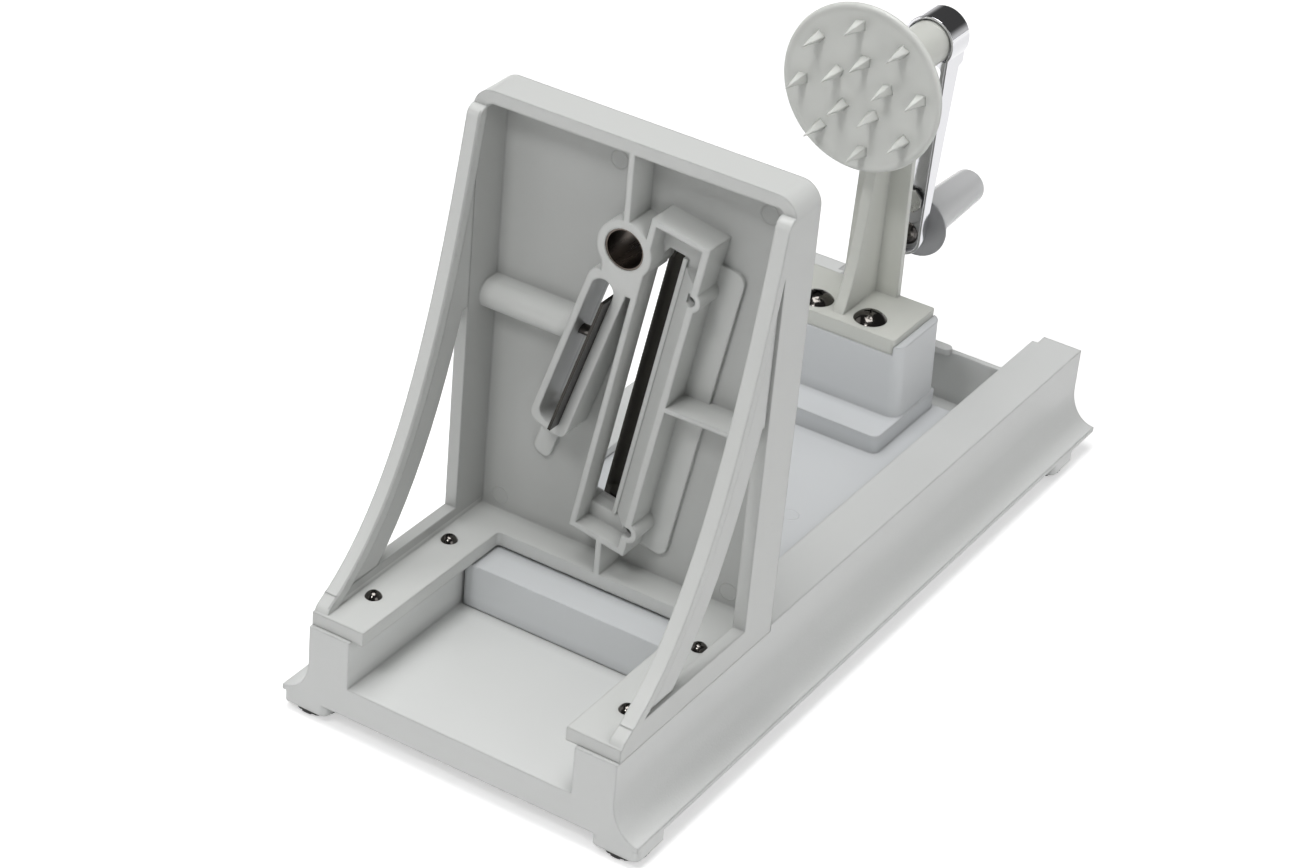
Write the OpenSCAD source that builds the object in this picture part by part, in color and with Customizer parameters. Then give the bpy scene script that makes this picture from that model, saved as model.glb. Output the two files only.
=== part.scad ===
// Crank-driven spiral slicer: a base with two rails, a sliding tray that carries a
// spiked disc on a cranked shaft, and an upright stand that holds the blades.
// Millimetres. +X runs across the base, +Y runs from the open front to the crank, +Z is up.
// The origin is on the table under the middle of the whole object.

/* [Base] */
// Length of the base along the slide
base_len = 348.4; // [335:1:370]
// Width over the foot flanges
base_w = 150; // [144:1:165]
// Width over the outer faces of the two rails
rail_w = 128; // [122:1:136]
// Width of the channel that the tray slides in
channel_w = 94; // [88:1:98]
// Height of the channel floor above the underside
floor_z = 16.6; // [14:0.2:19]
// Height of the rail tops above the underside
rail_h = 39; // [37:0.5:44]
// Thickness of the moulded walls of the base
base_wall = 2.6; // [2:0.1:3.2]
// How far the stand's seat lies below the rail tops
seat_drop = 2.8; // [2:0.2:3.4]
// How far each rail's lip reaches in over the tray
lip_reach = 2.4; // [1.5:0.1:3]
// Thickness of the rail's lip
lip_t = 3.6; // [3:0.1:4.2]
// Distance from the stop wall's front to the rear end of the rails
stop_depth = 36.5; // [28:0.5:45]
// Height at which the side cove meets the rail
cove_top = 20.6; // [18:0.2:24]
// Height of the flange edge where the cove ends
cove_foot = 6.5; // [5.6:0.1:8]
// Height of the skirt's lower edge between the foot pads
skirt_z = 4.5; // [3.6:0.1:5]

/* [Feet] */
// Radius of each rubber foot
foot_r = 8.8; // [7:0.1:9.4]
// Height of each rubber foot below its pad
foot_h = 3.5; // [2.5:0.1:6]
// Radius of the stem that holds a foot in its pad
foot_stem_r = 3; // [2.4:0.1:4]

/* [Blade stand] */
// Height of the stand above its seat on the rails
stand_h = 178.7; // [176:0.5:195]
// Distance from the front of the base to the plate's rear face
stand_back = 99.6; // [96:0.5:110]
// Thickness of the upright plate
plate_t = 2.4; // [2:0.1:2.8]
// Depth of the rim round the plate, with the plate
rim_depth = 15.9; // [14:0.1:17]
// Thickness of the rim and of the gussets
rim_t = 5; // [4:0.1:6]
// Corner radius of the rim at the top
rim_corner_r = 8; // [6:0.5:12]
// Thickness of the flange on the rails
flange_t = 5.5; // [4.5:0.1:6.5]
// How far the flange overhangs the channel
flange_overhang = 4.7; // [3:0.1:6]
// Set-back of the flange from the front of the base
flange_setback = 1.5; // [1:0.1:3]
// Width of the rounded bead along a gusset's front edge
bead_w = 4; // [3:0.1:5]
// Width of the gusset's web in front of its window
web_w = 15; // [13:0.5:18]
// Height of the top of the window above the flange
window_h = 89.3; // [80:0.5:95]

/* [Chutes] */
// Height of the shaft and of the coring tube above the underside of the base
axis_z = 173.9; // [170:0.5:178]
// Lean of the main chute from upright
chute_lean = 9.8; // [8:0.1:11]
// Lean of the comb chute from upright
comb_lean = 17; // [16:0.1:18]
// Thickness of the chute walls
chute_wall = 2.3; // [1.8:0.1:2.8]
// Width of the slot beside the main blade
slot_w = 9.4; // [8.6:0.1:10]
// Length of the main slot
slot_len = 113; // [108:0.5:115]
// Width of the comb slot
comb_slot_w = 9.2; // [8.4:0.1:9.6]
// Length of the comb slot
comb_slot_len = 67; // [60:0.5:70]
// Outer radius of the ring round the coring tube
ring_r = 10.9; // [10:0.1:12]
// Outer radius of the coring tube
tube_r = 7.75; // [7:0.05:8.2]
// Wall of the coring tube
tube_wall = 0.7; // [0.5:0.1:1.2]
// How far the coring tube stands out behind the plate
tube_out = 9.5; // [6:0.5:10]

/* [Blades] */
// Thickness of the main blade
blade_t = 1; // [0.8:0.1:1.2]
// Width of the main blade across its edge
blade_w = 31.6; // [30.6:0.1:32.4]
// Tilt that lifts the cutting edge off the plate
blade_tilt = 4; // [3.5:0.1:4.5]
// Thickness of the comb blade
comb_t = 1.2; // [0.8:0.1:1.4]
// Number of comb teeth
comb_teeth = 12; // [8:1:16]
// How far the comb teeth stand out behind the plate
comb_out = 2.6; // [1.5:0.1:3.5]
// Radius of the clamp screw
clamp_r = 2; // [1.6:0.1:2.4]
// Radius of the clamp screw's knob
knob_r = 8.5; // [7:0.1:9]

/* [Tray] */
// Gap between the tray and what it slides in
tray_gap = 0.35; // [0.3:0.01:0.5]
// Distance from the front of the base to the tray's front at rest
tray_front = 68.4; // [60:0.5:74]
// Distance from the stand's rear face to the tray's ledge at rest
ledge_off = 129; // [122:0.5:132]
// Length of the low ledge in front of the pedestal
ledge_len = 16.4; // [12:0.2:20]
// Height of the ledge above the tray
ledge_h = 7.6; // [6:0.1:9]
// Height of the pedestal above the tray
pedestal_h = 37.5; // [33:0.5:40]
// Width of the pedestal at its top
pedestal_w = 62.8; // [58:0.2:66]
// Length of the pedestal along the slide
pedestal_len = 34; // [32:0.2:38]
// Wall thickness of the tray and its pedestal
tray_wall = 2.6; // [2:0.1:3.2]

/* [Crank stand] */
// Thickness of the crank stand's foot plate
foot_plate_t = 6.3; // [5.5:0.1:7]
// Depth of the channel that the foot plate is let into
foot_recess = 3.5; // [2.4:0.1:4.4]
// Width of the rim left beside the foot plate
foot_rim = 3.5; // [2.5:0.1:5]
// Thickness of the post's web
web_t = 4.7; // [4:0.1:6]
// Thickness of the post's rear panel
panel_t = 3; // [2.4:0.1:4]
// Half width of the rear panel at its foot
panel_foot = 12.1; // [11:0.1:14]
// Outer radius of the bearing boss
boss_r = 8.9; // [8.2:0.1:9.4]
// Length of the bearing boss
boss_len = 41; // [36:0.5:42]

/* [Disc and shaft] */
// Radius of the spiked disc
disc_r = 33.6; // [30:0.2:36]
// Length of the disc's spikes
spike_h = 12.7; // [10:0.1:14]
// Width of a spike's square foot
spike_w = 4.1; // [3.4:0.1:4.6]
// Number of spikes in the outer ring
outer_spikes = 8; // [6:1:12]
// Number of spikes in the inner ring
inner_spikes = 5; // [3:1:6]
// Radius of the crank shaft
shaft_r = 4; // [3.4:0.1:4.4]
// Radial running clearance of shaft, pin and screw
run_gap = 0.05; // [0.02:0.01:0.09]

/* [Crank] */
// Distance from the shaft to the handle's pin
crank_r = 84.6; // [78:0.2:90]
// Outer radius of the arm's hub cup
hub_r = 10.8; // [10.6:0.1:12]
// Depth of the arm's hub cup
hub_depth = 13.6; // [12.6:0.1:15]
// Depth of the arm's channel at the handle end
arm_end_depth = 5; // [4.4:0.1:6]
// Radius of the arm's rounded lower end
arm_end_r = 8; // [7.4:0.1:9]
// Thickness of the arm's pressed sheet
sheet_t = 1.2; // [1:0.1:1.5]
// Length of the grip behind its guard
grip_len = 42.4; // [38:0.2:54]
// Radius of the grip at the guard
grip_r = 8.8; // [8.2:0.1:10]
// Radius of the grip at its free end
grip_end_r = 7.4; // [7:0.1:8]
// Radius of the guard
guard_r = 13.3; // [11:0.1:15]
// Radius of the pin that the grip turns on
pin_r = 3; // [2.6:0.1:3.4]

/* [Hidden] */
$fn = 96;
// Overlap that joins two shapes of one moulding, and the reach of a cut past a face
eps = 0.02;
cut = 1;
// Gap between a pressed-in piece and its seat, and between bolted faces
seat_gap = 0.03;
// Gap between pieces of different moving bodies that pass each other
clear = 0.3;

// Base, measured from its front face and from the underside of its foot pads
half_base = base_w / 2;
half_rail = rail_w / 2;
half_channel = channel_w / 2;
seat_z = rail_h - seat_drop;
lip_z = rail_h - lip_t;
stop_y = base_len - stop_depth;
cove_w = half_base - half_rail;
cove_h = cove_top - cove_foot;
cove_steps = 14;
cavity_top = seat_z - base_wall;
floor_under = floor_z - base_wall;
rib_count = 4;
rib_t = 2;
rail_end_step = 6;
rear_y = base_len - rail_end_step;
stop_bar_r = 2.5;
stop_bar_low = rail_h - 1.2;
stop_bar_rise = 1.5;
stop_bar_len = 46;

// Foot pads: front pair at the corners, rear pair a little forward of the rear end
pad_w = 2 * foot_r + 1.5;
pad_h = 6.2;
rear_pad_inset = 17;
foot_x = half_base - pad_w / 2;
foot_ys = [pad_w / 2, base_len - rear_pad_inset - pad_w / 2];
foot_stem_h = 5;
foot_notches = 10;

// Blade stand
stand_top = seat_z + stand_h;
plate_front = stand_back - plate_t;
rim_front = stand_back - rim_depth;
flange_top = seat_z + flange_t;
flange_in = half_channel - flange_overhang;
flange_corner_r = 1.5;
side_in = half_rail - rim_t;
side_strip = rim_depth + 3.4;
strip_front = stand_back - side_strip;
stand_screw_x = (flange_in + half_rail) / 2;
stand_screw_ys = [rim_front - 15.6, flange_setback + 20.7];
screw_head_r = 3.2;
screw_head_h = 2.2;
screw_r = 1.5;
screw_len = 18;
screw_post_r = 4;

// Gusset outline: a toe, a long concave sweep and a rounded shoulder under the rim
toe_r = 6;
toe = [flange_setback + 0.5 + toe_r, seat_z + 3];
shoulder_r = 4.2;
shoulder = [rim_front, stand_top - 6.4 - shoulder_r];
sweep_low = toe + toe_r * [cos(130), sin(130)];
sweep_high = [shoulder[0] - shoulder_r, shoulder[1]];
sweep_run = sweep_high - sweep_low;
sweep_pull_high = [sweep_high[0] - 0.195 * sweep_run[0], sweep_high[1] - 0.48 * sweep_run[1]];
sweep_pull_low = [sweep_low[0] + 0.55 * sweep_run[0], sweep_low[1] + 0.145 * sweep_run[1]];
sweep_steps = 20;
web_inset = 0.7;
bead_proud = 0.6;
groove_w = 1.3;
groove_depth = 1.4;
groove_up = 50;
groove_forward = 22;
window_floor = flange_top + 5;
window_top = flange_top + window_h;

// Main chute, in a frame at the tube's axis that leans with the chute
slot_u = 9.4;
slot_top = 4.5;
slot_low = slot_top - slot_len;
slot_right = slot_u + slot_w;
slot_corner = [3.2, 5.6];
chute_left = slot_u - chute_wall;
chute_right = 30.8;
right_wall_t = 2.8;
chute_floor = rim_front + 8.3;
hood_top = slot_top + 10.2 + chute_wall;
sill_w = slot_low - 6 - chute_wall;
boss_post_r = 4.1;
post_pit_r = 2;
post_pit_depth = 2.6;
post_high = [chute_right - 2.2, slot_top - 9.7];
post_low = [chute_right - 1.2, slot_low + 1.9];
pad_right = chute_right + 10.2;
pad_low = sill_w - 1.1;
pad_high = slot_top + 1.5;
pad_rise = 1.5;
pad_corner_r = 4;

// Low rib along the slot's right edge
slot_rib_w = 1.7;
slot_rib_rise = 1.1;
slot_rib_inset = 0.4;

// Ramp from that rib up to the right wall, in the chute's frame seen along its slot
ramp_foot = [slot_right + slot_rib_w, chute_floor - slot_rib_rise + 0.3];
ramp_top = [chute_right - right_wall_t, rim_front + 0.4];
ramp_slope = (ramp_top[1] - ramp_foot[1]) / (ramp_top[0] - ramp_foot[0]);
ramp_low = slot_low + 2;
ramp_high = slot_top - 3.3;

// Bevel behind the slot's left lip, which ends below the tube's bore
lip_bevel = [3, 5.9];
lip_bevel_top = -6.5;

// Main blade and its pocket
blade_right = chute_right + 9.7;
blade_edge = blade_right - blade_w;
blade_low = slot_low - 4;
blade_high = slot_top + 1;
pocket_gap = 0.25;
pocket_floor = stand_back - 1.4;
bevel_w = 3;
blade_screw_r = 1.6;
blade_screw_len = 10;
blade_head_r = 2.9;
blade_head_h = 1.3;

// Cross rib from the chute to the right wall, and top of the rib under the chute's sill
cross_rib_z = axis_z - 55;
cross_rib_x = (chute_right - right_wall_t / 2 + (cross_rib_z - axis_z) * sin(chute_lean)) / cos(chute_lean);
lower_rib_top = axis_z + (sill_w + 1) / cos(chute_lean);

// Comb chute, in its own leaning frame at the tube's axis
comb_slot_left = -6.1;
comb_slot_right = comb_slot_left + comb_slot_w;
comb_slot_top = -15.3;
comb_slot_low = comb_slot_top - comb_slot_len;
comb_wall_left = 2.6;
comb_wall_right = 4;
comb_pad_len = 24.5;
comb_side_gap = 0.1;
comb_u = comb_slot_right - comb_t - comb_side_gap;
comb_front = rim_front - 5.3;
comb_back = stand_back + comb_out;
comb_tooth_h = 3.4;
comb_len = comb_slot_len - 6.8;
comb_low = comb_slot_low + 2;

// Clamp: a tube along X from the left wall to the comb chute
clamp_boss_r = 5.5;
clamp_y = plate_front - clamp_boss_r + 0.2;
clamp_z = axis_z - 41.3;
clamp_u = comb_u - clear / 4;
// Where the clamp's axis meets the comb blade, less the screw's own radius at that lean
clamp_tip_x = (clamp_u + (clamp_z - axis_z) * sin(comb_lean)) / cos(comb_lean) - clamp_r * tan(comb_lean);
insert_r = 3.4;
insert_len = 8;
insert_x = (comb_slot_left + (clamp_z - axis_z) * sin(comb_lean)) / cos(comb_lean) - 4 - insert_len;
knob_gap = 0.6;
knob_end = half_base - 0.1;
knob_len = knob_end - half_rail - knob_gap;
knob_grooves = 12;
knob_hold = 6;
clamp_point = 1.2;

// Tray, measured like the base
half_tray = half_channel - tray_gap;
tray_z = floor_z + tray_gap;
tray_top = lip_z - tray_gap;
ledge_y = stand_back + ledge_off;
pedestal_y = ledge_y + ledge_len;
pedestal_back = pedestal_y + pedestal_len + 1;
tray_back = pedestal_back - 3;
tray_corner_r = 2;
pedestal_top = tray_top + pedestal_h;
pedestal_lean = 1;
pedestal_draft = 2.9;
pedestal_corner_r = 5;
ledge_half = pedestal_w / 2 + 3.1;

// Crank stand
foot_half = pedestal_w / 2 - foot_rim;
foot_y = pedestal_y + pedestal_lean + 0.5;
foot_back = pedestal_back;
foot_seat = pedestal_top - foot_recess;
foot_top = foot_seat + foot_plate_t;
panel_front = foot_back - panel_t;
boss_front = panel_front - 15;
boss_back = boss_front + boss_len;
web_foot_y = foot_y + 4.9;
web_head_y = boss_front + 5.5;
post_steps = 14;
big_head_r = 6.75;
big_head_h = 3.4;
big_screw_r = 2.5;
big_screw_x = 11.9;
big_screw_y = foot_y + 9.5;
nut_h = 4;
nut_r = 4.6;
big_screw_len = foot_plate_t + tray_wall + nut_h + 2.5;

// Shaft line
bush_flange_t = 1.3;
bush_len = 10;
bush_r = shaft_r + 2;
bush_flange_r = boss_r - 0.7;
washer_t = 0.9;
disc_front = ledge_y + 18.1;
disc_rim_t = 2.4;
disc_crown = 2.6;
disc_hub_r = 8;
disc_back = boss_front - bush_flange_t - washer_t - 2 * clear;
disc_pin_r = 1.2;
disc_pin_y = (disc_front + disc_rim_t + disc_crown + disc_back) / 2 + 0.4;
outer_ring_r = disc_r * 0.75;
inner_ring_r = disc_r * 0.336;
outer_phase = 8;
inner_phase = 16;
shaft_front = disc_front + 3;

// Crank arm, hanging straight down at rest
arm_front = boss_back - 3;
hub_back = arm_front + hub_depth;
pin_z = axis_z - crank_r;
arm_top_half = hub_r - 1.3;
arm_back_high = arm_front + hub_depth - 3;
arm_back_low = arm_front + arm_end_depth;
arm_slot_r = 2.4;
arm_slot_z = axis_z - hub_r - 7;
arm_slot_len = 9;
shaft_back = hub_back - sheet_t - 2 * seat_gap;
crank_screw_r = 2.5;
crank_screw_hold = 8;
clip_z = pin_z + 15;
clip_r = 5.4;
clip_t = 1.5;

// Handle
guard_y = arm_back_low + 7.7;
guard_t = 3.4;
grip_y = guard_y + guard_t - 1;
grip_back = grip_y + grip_len;
pin_head_r = 5;
pin_head_t = 2;
pin_recess = 6;
handle_screw_r = 2;
handle_screw_hold = 10;
handle_head_r = 5;
handle_head_h = 2.6;

// Whole object
overall_len = grip_back;

// Points of an arc from angle a to angle b
function polar(r, a) = r * [cos(a), sin(a)];
function arc(c, r, a, b, n = 10) = [for (i = [0:n]) c + polar(r, a + (b - a) * i / n)];
// Point of a cubic curve, and the unit normal that points to its left
function cubic(p, t) = pow(1 - t, 3) * p[0] + 3 * pow(1 - t, 2) * t * p[1]
    + 3 * (1 - t) * t * t * p[2] + pow(t, 3) * p[3];
function cubic_slope(p, t) = pow(1 - t, 2) * (p[1] - p[0]) + 2 * (1 - t) * t * (p[2] - p[1])
    + t * t * (p[3] - p[2]);
function left_of(v) = [v[1], -v[0]] / norm(v);
function cubic_line(p, d, n) = [for (i = [0:n]) cubic(p, i / n) + d * left_of(cubic_slope(p, i / n))];
function flipped(list) = [for (i = [len(list) - 1:-1:0]) list[i]];
// Concave quarter of the cove on the right side, from the rail down to the flange
function cove(inset) = [for (i = [0:cove_steps])
    [half_base - inset - cove_w * sin(90 * i / cove_steps),
     cove_foot + cove_h * (1 - cos(90 * i / cove_steps)) - inset / 2]];

sweep = [sweep_low, sweep_pull_low, sweep_pull_high, sweep_high];

// Moves from the base's own measures to the object's origin
module place() {
    translate([0, -overall_len / 2, foot_h]) children();
}

// Flat shape in X and Z, extruded from y0 to y1
module across(y0, y1) {
    translate([0, y1, 0]) rotate([90, 0, 0]) linear_extrude(y1 - y0) children();
}

// Flat shape in Y and Z, extruded from x0 to x1
module along(x0, x1) {
    translate([x0, 0, 0]) rotate([90, 0, 90]) linear_extrude(x1 - x0) children();
}

// Round solid along Y, Z or X between two coordinates
module rod_y(x, z, r, y0, y1) {
    translate([x, y1, z]) rotate([90, 0, 0]) cylinder(r = r, h = y1 - y0);
}
module rod_z(x, y, r, z0, z1) {
    translate([x, y, z0]) cylinder(r = r, h = z1 - z0);
}
module rod_x(y, z, r, x0, x1) {
    translate([x0, y, z]) rotate([0, 90, 0]) cylinder(r = r, h = x1 - x0);
}

module box(x0, x1, y0, y1, z0, z1) {
    translate([x0, y0, z0]) cube([x1 - x0, y1 - y0, z1 - z0]);
}

// Rectangle with four round corners
module rounded(x0, x1, y0, y1, r) {
    translate([x0 + r, y0]) square([x1 - x0 - 2 * r, y1 - y0]);
    translate([x0, y0 + r]) square([x1 - x0, y1 - y0 - 2 * r]);
    for (x = [x0 + r, x1 - r], y = [y0 + r, y1 - r]) translate([x, y]) circle(r);
}

// Upright slot shape with half-round ends, its middle at the origin
module round_ended(r, length) {
    translate([-r, r - length / 2]) square([2 * r, length - 2 * r]);
    for (s = [-1, 1]) translate([0, s * (length / 2 - r)]) circle(r);
}

// Frame of a chute: its own +Z leans towards +X, its origin is the tube's axis
module leaning(angle) {
    translate([0, 0, axis_z]) rotate([0, angle, 0]) children();
}
// The same frame for a flat shape in X and Z
module flat_leaning(angle) {
    translate([0, axis_z]) rotate(-angle) children();
}

// Domed screw with a cross recess, its head's seat at the origin, its shank down -Z
module domed_screw(head_r, head_h, shank_r, length) {
    difference() {
        union() {
            rotate_extrude() intersection() {
                translate([0, head_h - (head_r * head_r + head_h * head_h) / (2 * head_h)])
                    circle((head_r * head_r + head_h * head_h) / (2 * head_h));
                square([head_r, head_h]);
            }
            translate([0, 0, -length]) cylinder(r = shank_r, h = length + eps);
        }
        for (a = [0, 90]) rotate([0, 0, a + 20])
            translate([-head_r * 0.55, -head_r * 0.11, head_h * 0.45])
                cube([head_r * 1.1, head_r * 0.22, head_h]);
    }
}

// Cross-section of the base's outside, and of the hollow under the right rail
module base_outline() {
    side = concat([[half_base, skirt_z]], cove(0), [[half_rail, rail_h]]);
    polygon(concat(side, flipped([for (p = side) [-p[0], p[1]]])));
}
module rail_hollow() {
    polygon(concat([[half_channel + base_wall, -cut], [half_base - base_wall, -cut]], cove(base_wall),
        [[half_rail - base_wall, cavity_top], [half_channel + base_wall, cavity_top]]));
}

module base() {
    color([0.80, 0.81, 0.80]) place() difference() {
        union() {
            difference() {
                across(0, base_len) base_outline();
                for (s = [0, 1]) mirror([s, 0, 0]) across(base_wall, base_len - base_wall) rail_hollow();
                box(-half_channel, half_channel, base_wall, rear_y - base_wall, -cut, floor_under);
                box(-half_channel, half_channel, -cut, rear_y + eps, floor_z, rail_h + cut);
                box(-half_channel, half_channel, rear_y, base_len + cut, -cut, rail_h + cut);
                box(-half_rail - cut, half_rail + cut, -cut, stand_back + clear, seat_z, rail_h + cut);
            }
            for (s = [-1, 1]) {
                lip_x = s > 0 ? half_channel - lip_reach : -half_channel - eps;
                box(lip_x, lip_x + lip_reach + eps, stand_back + clear, rear_y, lip_z, rail_h);
                for (y = foot_ys) foot_pad(s, y);
                for (y = stand_screw_ys) rod_z(s * stand_screw_x, y, screw_post_r,
                    seat_z - screw_len, cavity_top + eps);
            }
            for (i = [1:rib_count]) {
                y = i * base_len / (rib_count + 1);
                box(-half_channel - eps, half_channel + eps, y - rib_t / 2, y + rib_t / 2,
                    skirt_z + 3, floor_under + eps);
            }
            box(-half_channel - eps, half_channel + eps, stop_y, stop_y + base_wall, floor_z - eps, rail_h);
            stop_bar();
        }
        for (s = [-1, 1], y = stand_screw_ys)
            rod_z(s * stand_screw_x, y, screw_r + seat_gap, seat_z - screw_len - cut, seat_z + cut);
        for (s = [-1, 1], y = foot_ys)
            rod_z(s * foot_x, y, foot_stem_r + seat_gap, -cut, foot_stem_h + seat_gap);
    }
}

// Solid pad at a corner of the skirt, with round corners
module foot_pad(s, y) {
    translate([s * foot_x, y, 0]) linear_extrude(pad_h)
        rounded(-pad_w / 2, pad_w / 2, -pad_w / 2, pad_w / 2, 3);
}

// Bar with round ends along the top of the stop wall, which the pedestal meets
module stop_bar() {
    translate([0, stop_y + base_wall - stop_bar_r - eps, stop_bar_low]) rotate([0, 0, 90])
        linear_extrude(rail_h + stop_bar_rise - stop_bar_low) round_ended(stop_bar_r, stop_bar_len);
}

module rubber_feet() {
    color([0.08, 0.08, 0.08]) place() for (s = [-1, 1], y = foot_ys) {
        translate([s * foot_x, y, 0]) difference() {
            rotate_extrude() polygon([[0, -foot_h], [foot_r - 1.6, -foot_h], [foot_r - 0.6, -foot_h + 0.8],
                [foot_r, -seat_gap], [foot_stem_r, -seat_gap], [foot_stem_r, foot_stem_h - 0.6],
                [foot_stem_r - 0.6, foot_stem_h], [0, foot_stem_h]]);
            for (i = [0:foot_notches - 1]) rotate([0, 0, i * 360 / foot_notches])
                translate([foot_r - 2, -0.8, -foot_h - cut]) cube([3, 1.6, cut + 1.4]);
        }
    }
}

// Upright outline of the stand, with round top corners
module stand_outline(inset, bottom, r) {
    difference() {
        translate([-half_rail + inset, bottom]) square([rail_w - 2 * inset, stand_top - inset - bottom]);
        for (s = [-1, 1]) translate([s * (half_rail - inset - r), stand_top - inset - r]) difference() {
            translate([s > 0 ? 0 : -r - cut, 0]) square([r + cut, r + cut]);
            circle(r);
        }
    }
}

// Side profile of a gusset with its rim strip
module gusset_profile() {
    polygon(concat([[toe[0] - toe_r, seat_z]], arc(toe, toe_r, 180, 130), cubic_line(sweep, 0, sweep_steps),
        arc(shoulder, shoulder_r, 180, 90), [[stand_back, shoulder[1] + shoulder_r], [stand_back, seat_z]]));
}

// Strip along the gusset's front edge
module bead_profile() {
    inner_toe = arc(toe, toe_r - bead_w, 180, 130);
    inner_top = arc(shoulder, shoulder_r - bead_w, 180, 90);
    polygon(concat([[toe[0] - toe_r, seat_z]], arc(toe, toe_r, 180, 130), cubic_line(sweep, 0, sweep_steps),
        arc(shoulder, shoulder_r, 180, 90), flipped(inner_top),
        flipped(cubic_line(sweep, bead_w, sweep_steps)),
        flipped(inner_toe), [[toe[0] - toe_r + bead_w, seat_z]]));
}

// Window behind the gusset's web: open to the front by a curve that follows the edge
module window_profile() {
    intersection() {
        polygon(concat(cubic_line(sweep, web_w, sweep_steps),
            [[stand_back, sweep_high[1]], [stand_back, seat_z]]));
        translate([flange_setback, window_floor])
            square([strip_front - flange_setback, window_top - window_floor]);
    }
}

// Right-hand gusset; the left one is its mirror image
module gusset() {
    difference() {
        union() {
            along(side_in + web_inset / 2, half_rail - web_inset) gusset_profile();
            along(side_in - bead_proud, half_rail) bead_profile();
            box(side_in, half_rail, strip_front, stand_back, seat_z, stand_top - rim_corner_r);
            box(side_in, half_rail, toe[0], stand_back, seat_z, window_floor);
        }
        along(side_in - cut, half_rail + cut) window_profile();
        box(half_rail - groove_depth, half_rail + cut, strip_front - groove_w, strip_front,
            window_top - cut, window_top + groove_up);
        box(half_rail - groove_depth, half_rail + cut, groove_forward - 2, groove_forward + 25,
            window_floor, window_floor + groove_w);
    }
}

// Walls of the main chute: left and right wall, hood, sill and the posts for the blade's screws
module chute_walls() {
    translate([chute_left, sill_w]) square([chute_wall, hood_top - sill_w]);
    translate([chute_right - right_wall_t, sill_w]) square([right_wall_t, hood_top - sill_w]);
    for (w = [sill_w, hood_top - chute_wall])
        translate([chute_left, w]) square([chute_right - chute_left, chute_wall]);
    intersection() {
        for (p = [post_high, post_low]) translate(p) circle(boss_post_r);
        translate([chute_right - right_wall_t, sill_w]) square([2 * boss_post_r, hood_top - sill_w]);
    }
}

// Pit in a post's front, open towards the chute
module post_pit() {
    circle(post_pit_r);
    translate([-post_pit_r, -post_pit_r]) square([post_pit_r, 2 * post_pit_r]);
}

// Floor between the main chute's walls
module chute_bottom() {
    translate([chute_left, sill_w] + [1, 1]) square([chute_right - chute_left - 2, hood_top - sill_w - 2]);
}

// Rib along the slot's right edge, and the slope from it up to the right wall
module chute_ramp() {
    left = ramp_foot[0] - 0.7;
    right = ramp_top[0] + 0.3;
    translate([0, 0, ramp_low]) linear_extrude(ramp_high - ramp_low) polygon([
        [left, ramp_foot[1] - 0.7 * ramp_slope], [right, ramp_top[1] + 0.3 * ramp_slope],
        [right, chute_floor + 3], [left, chute_floor + 3]]);
    translate([slot_right - 1, chute_floor - slot_rib_rise, slot_low + slot_rib_inset])
        cube([slot_rib_w + 1, slot_rib_rise + 2, slot_len - 2 * slot_rib_inset]);
}

// Slot beside the main blade: one upper corner cut off, and the tube's ring left standing
module main_slot() {
    difference() {
        polygon([[slot_u, slot_low], [slot_right, slot_low], [slot_right, slot_top],
            [slot_u + slot_corner[0], slot_top], [slot_u, slot_top - slot_corner[1]]]);
        circle(ring_r + 0.1);
    }
}

// Cut that bevels the slot's left lip from behind
module lip_cut() {
    run = lip_bevel[0] / lip_bevel[1];
    y0 = stand_back - lip_bevel[1] - 1 / run;
    translate([0, 0, slot_low + clear]) linear_extrude(lip_bevel_top - slot_low - clear) polygon([
        [slot_u + 1, y0], [slot_u + 2, y0], [slot_u + 2, stand_back + cut],
        [slot_u - lip_bevel[0] - cut * run, stand_back + cut]]);
}

module comb_outline() {
    rounded(comb_slot_left - comb_wall_left, comb_slot_right + comb_wall_right,
        comb_slot_low - 2.8, comb_slot_top + 2.4, 4);
}
// Slot with half-round ends, and the straight seat of the comb blade on its right side
module comb_slot() {
    translate([comb_slot_left + comb_slot_w / 2, comb_slot_top - comb_slot_len / 2])
        round_ended(comb_slot_w / 2, comb_slot_len);
    translate([comb_u - comb_side_gap, comb_low - clear])
        square([comb_slot_right - comb_u + comb_side_gap, comb_len + 2 * clear]);
}

// Web between the tube's ring and the two chutes
module chute_web() {
    polygon([[0, -17.4], [4.6, -17.4], [9.4, 6], [4, 9], [-9, 3], [-8, -14]]);
}

// Everything that stands forward from the plate: both chutes, the tube's ring and the ribs
module chute_plan() {
    flat_leaning(chute_lean) chute_walls();
    flat_leaning(comb_lean) comb_outline();
    translate([0, axis_z]) {
        chute_web();
        circle(ring_r);
    }
    translate([-chute_wall / 2, axis_z]) square([chute_wall, stand_top - rim_t / 2 - axis_z]);
    translate([-chute_wall / 2, flange_top - flange_t / 2])
        square([chute_wall, lower_rib_top - flange_top + flange_t / 2]);
    translate([cross_rib_x, cross_rib_z - 1]) square([side_in + rim_t / 2 - cross_rib_x, 2]);
}

// Wedge-shaped pocket behind the plate that the main blade lies in
module blade_wedge(low, high, side_gap) {
    lift = blade_w * tan(blade_tilt);
    rear = stand_back + 5;
    translate([0, 0, low]) linear_extrude(high - low) polygon([[blade_right + side_gap, pocket_floor],
        [blade_edge, pocket_floor + lift], [blade_edge, rear], [blade_right + side_gap, rear]]);
}

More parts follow.
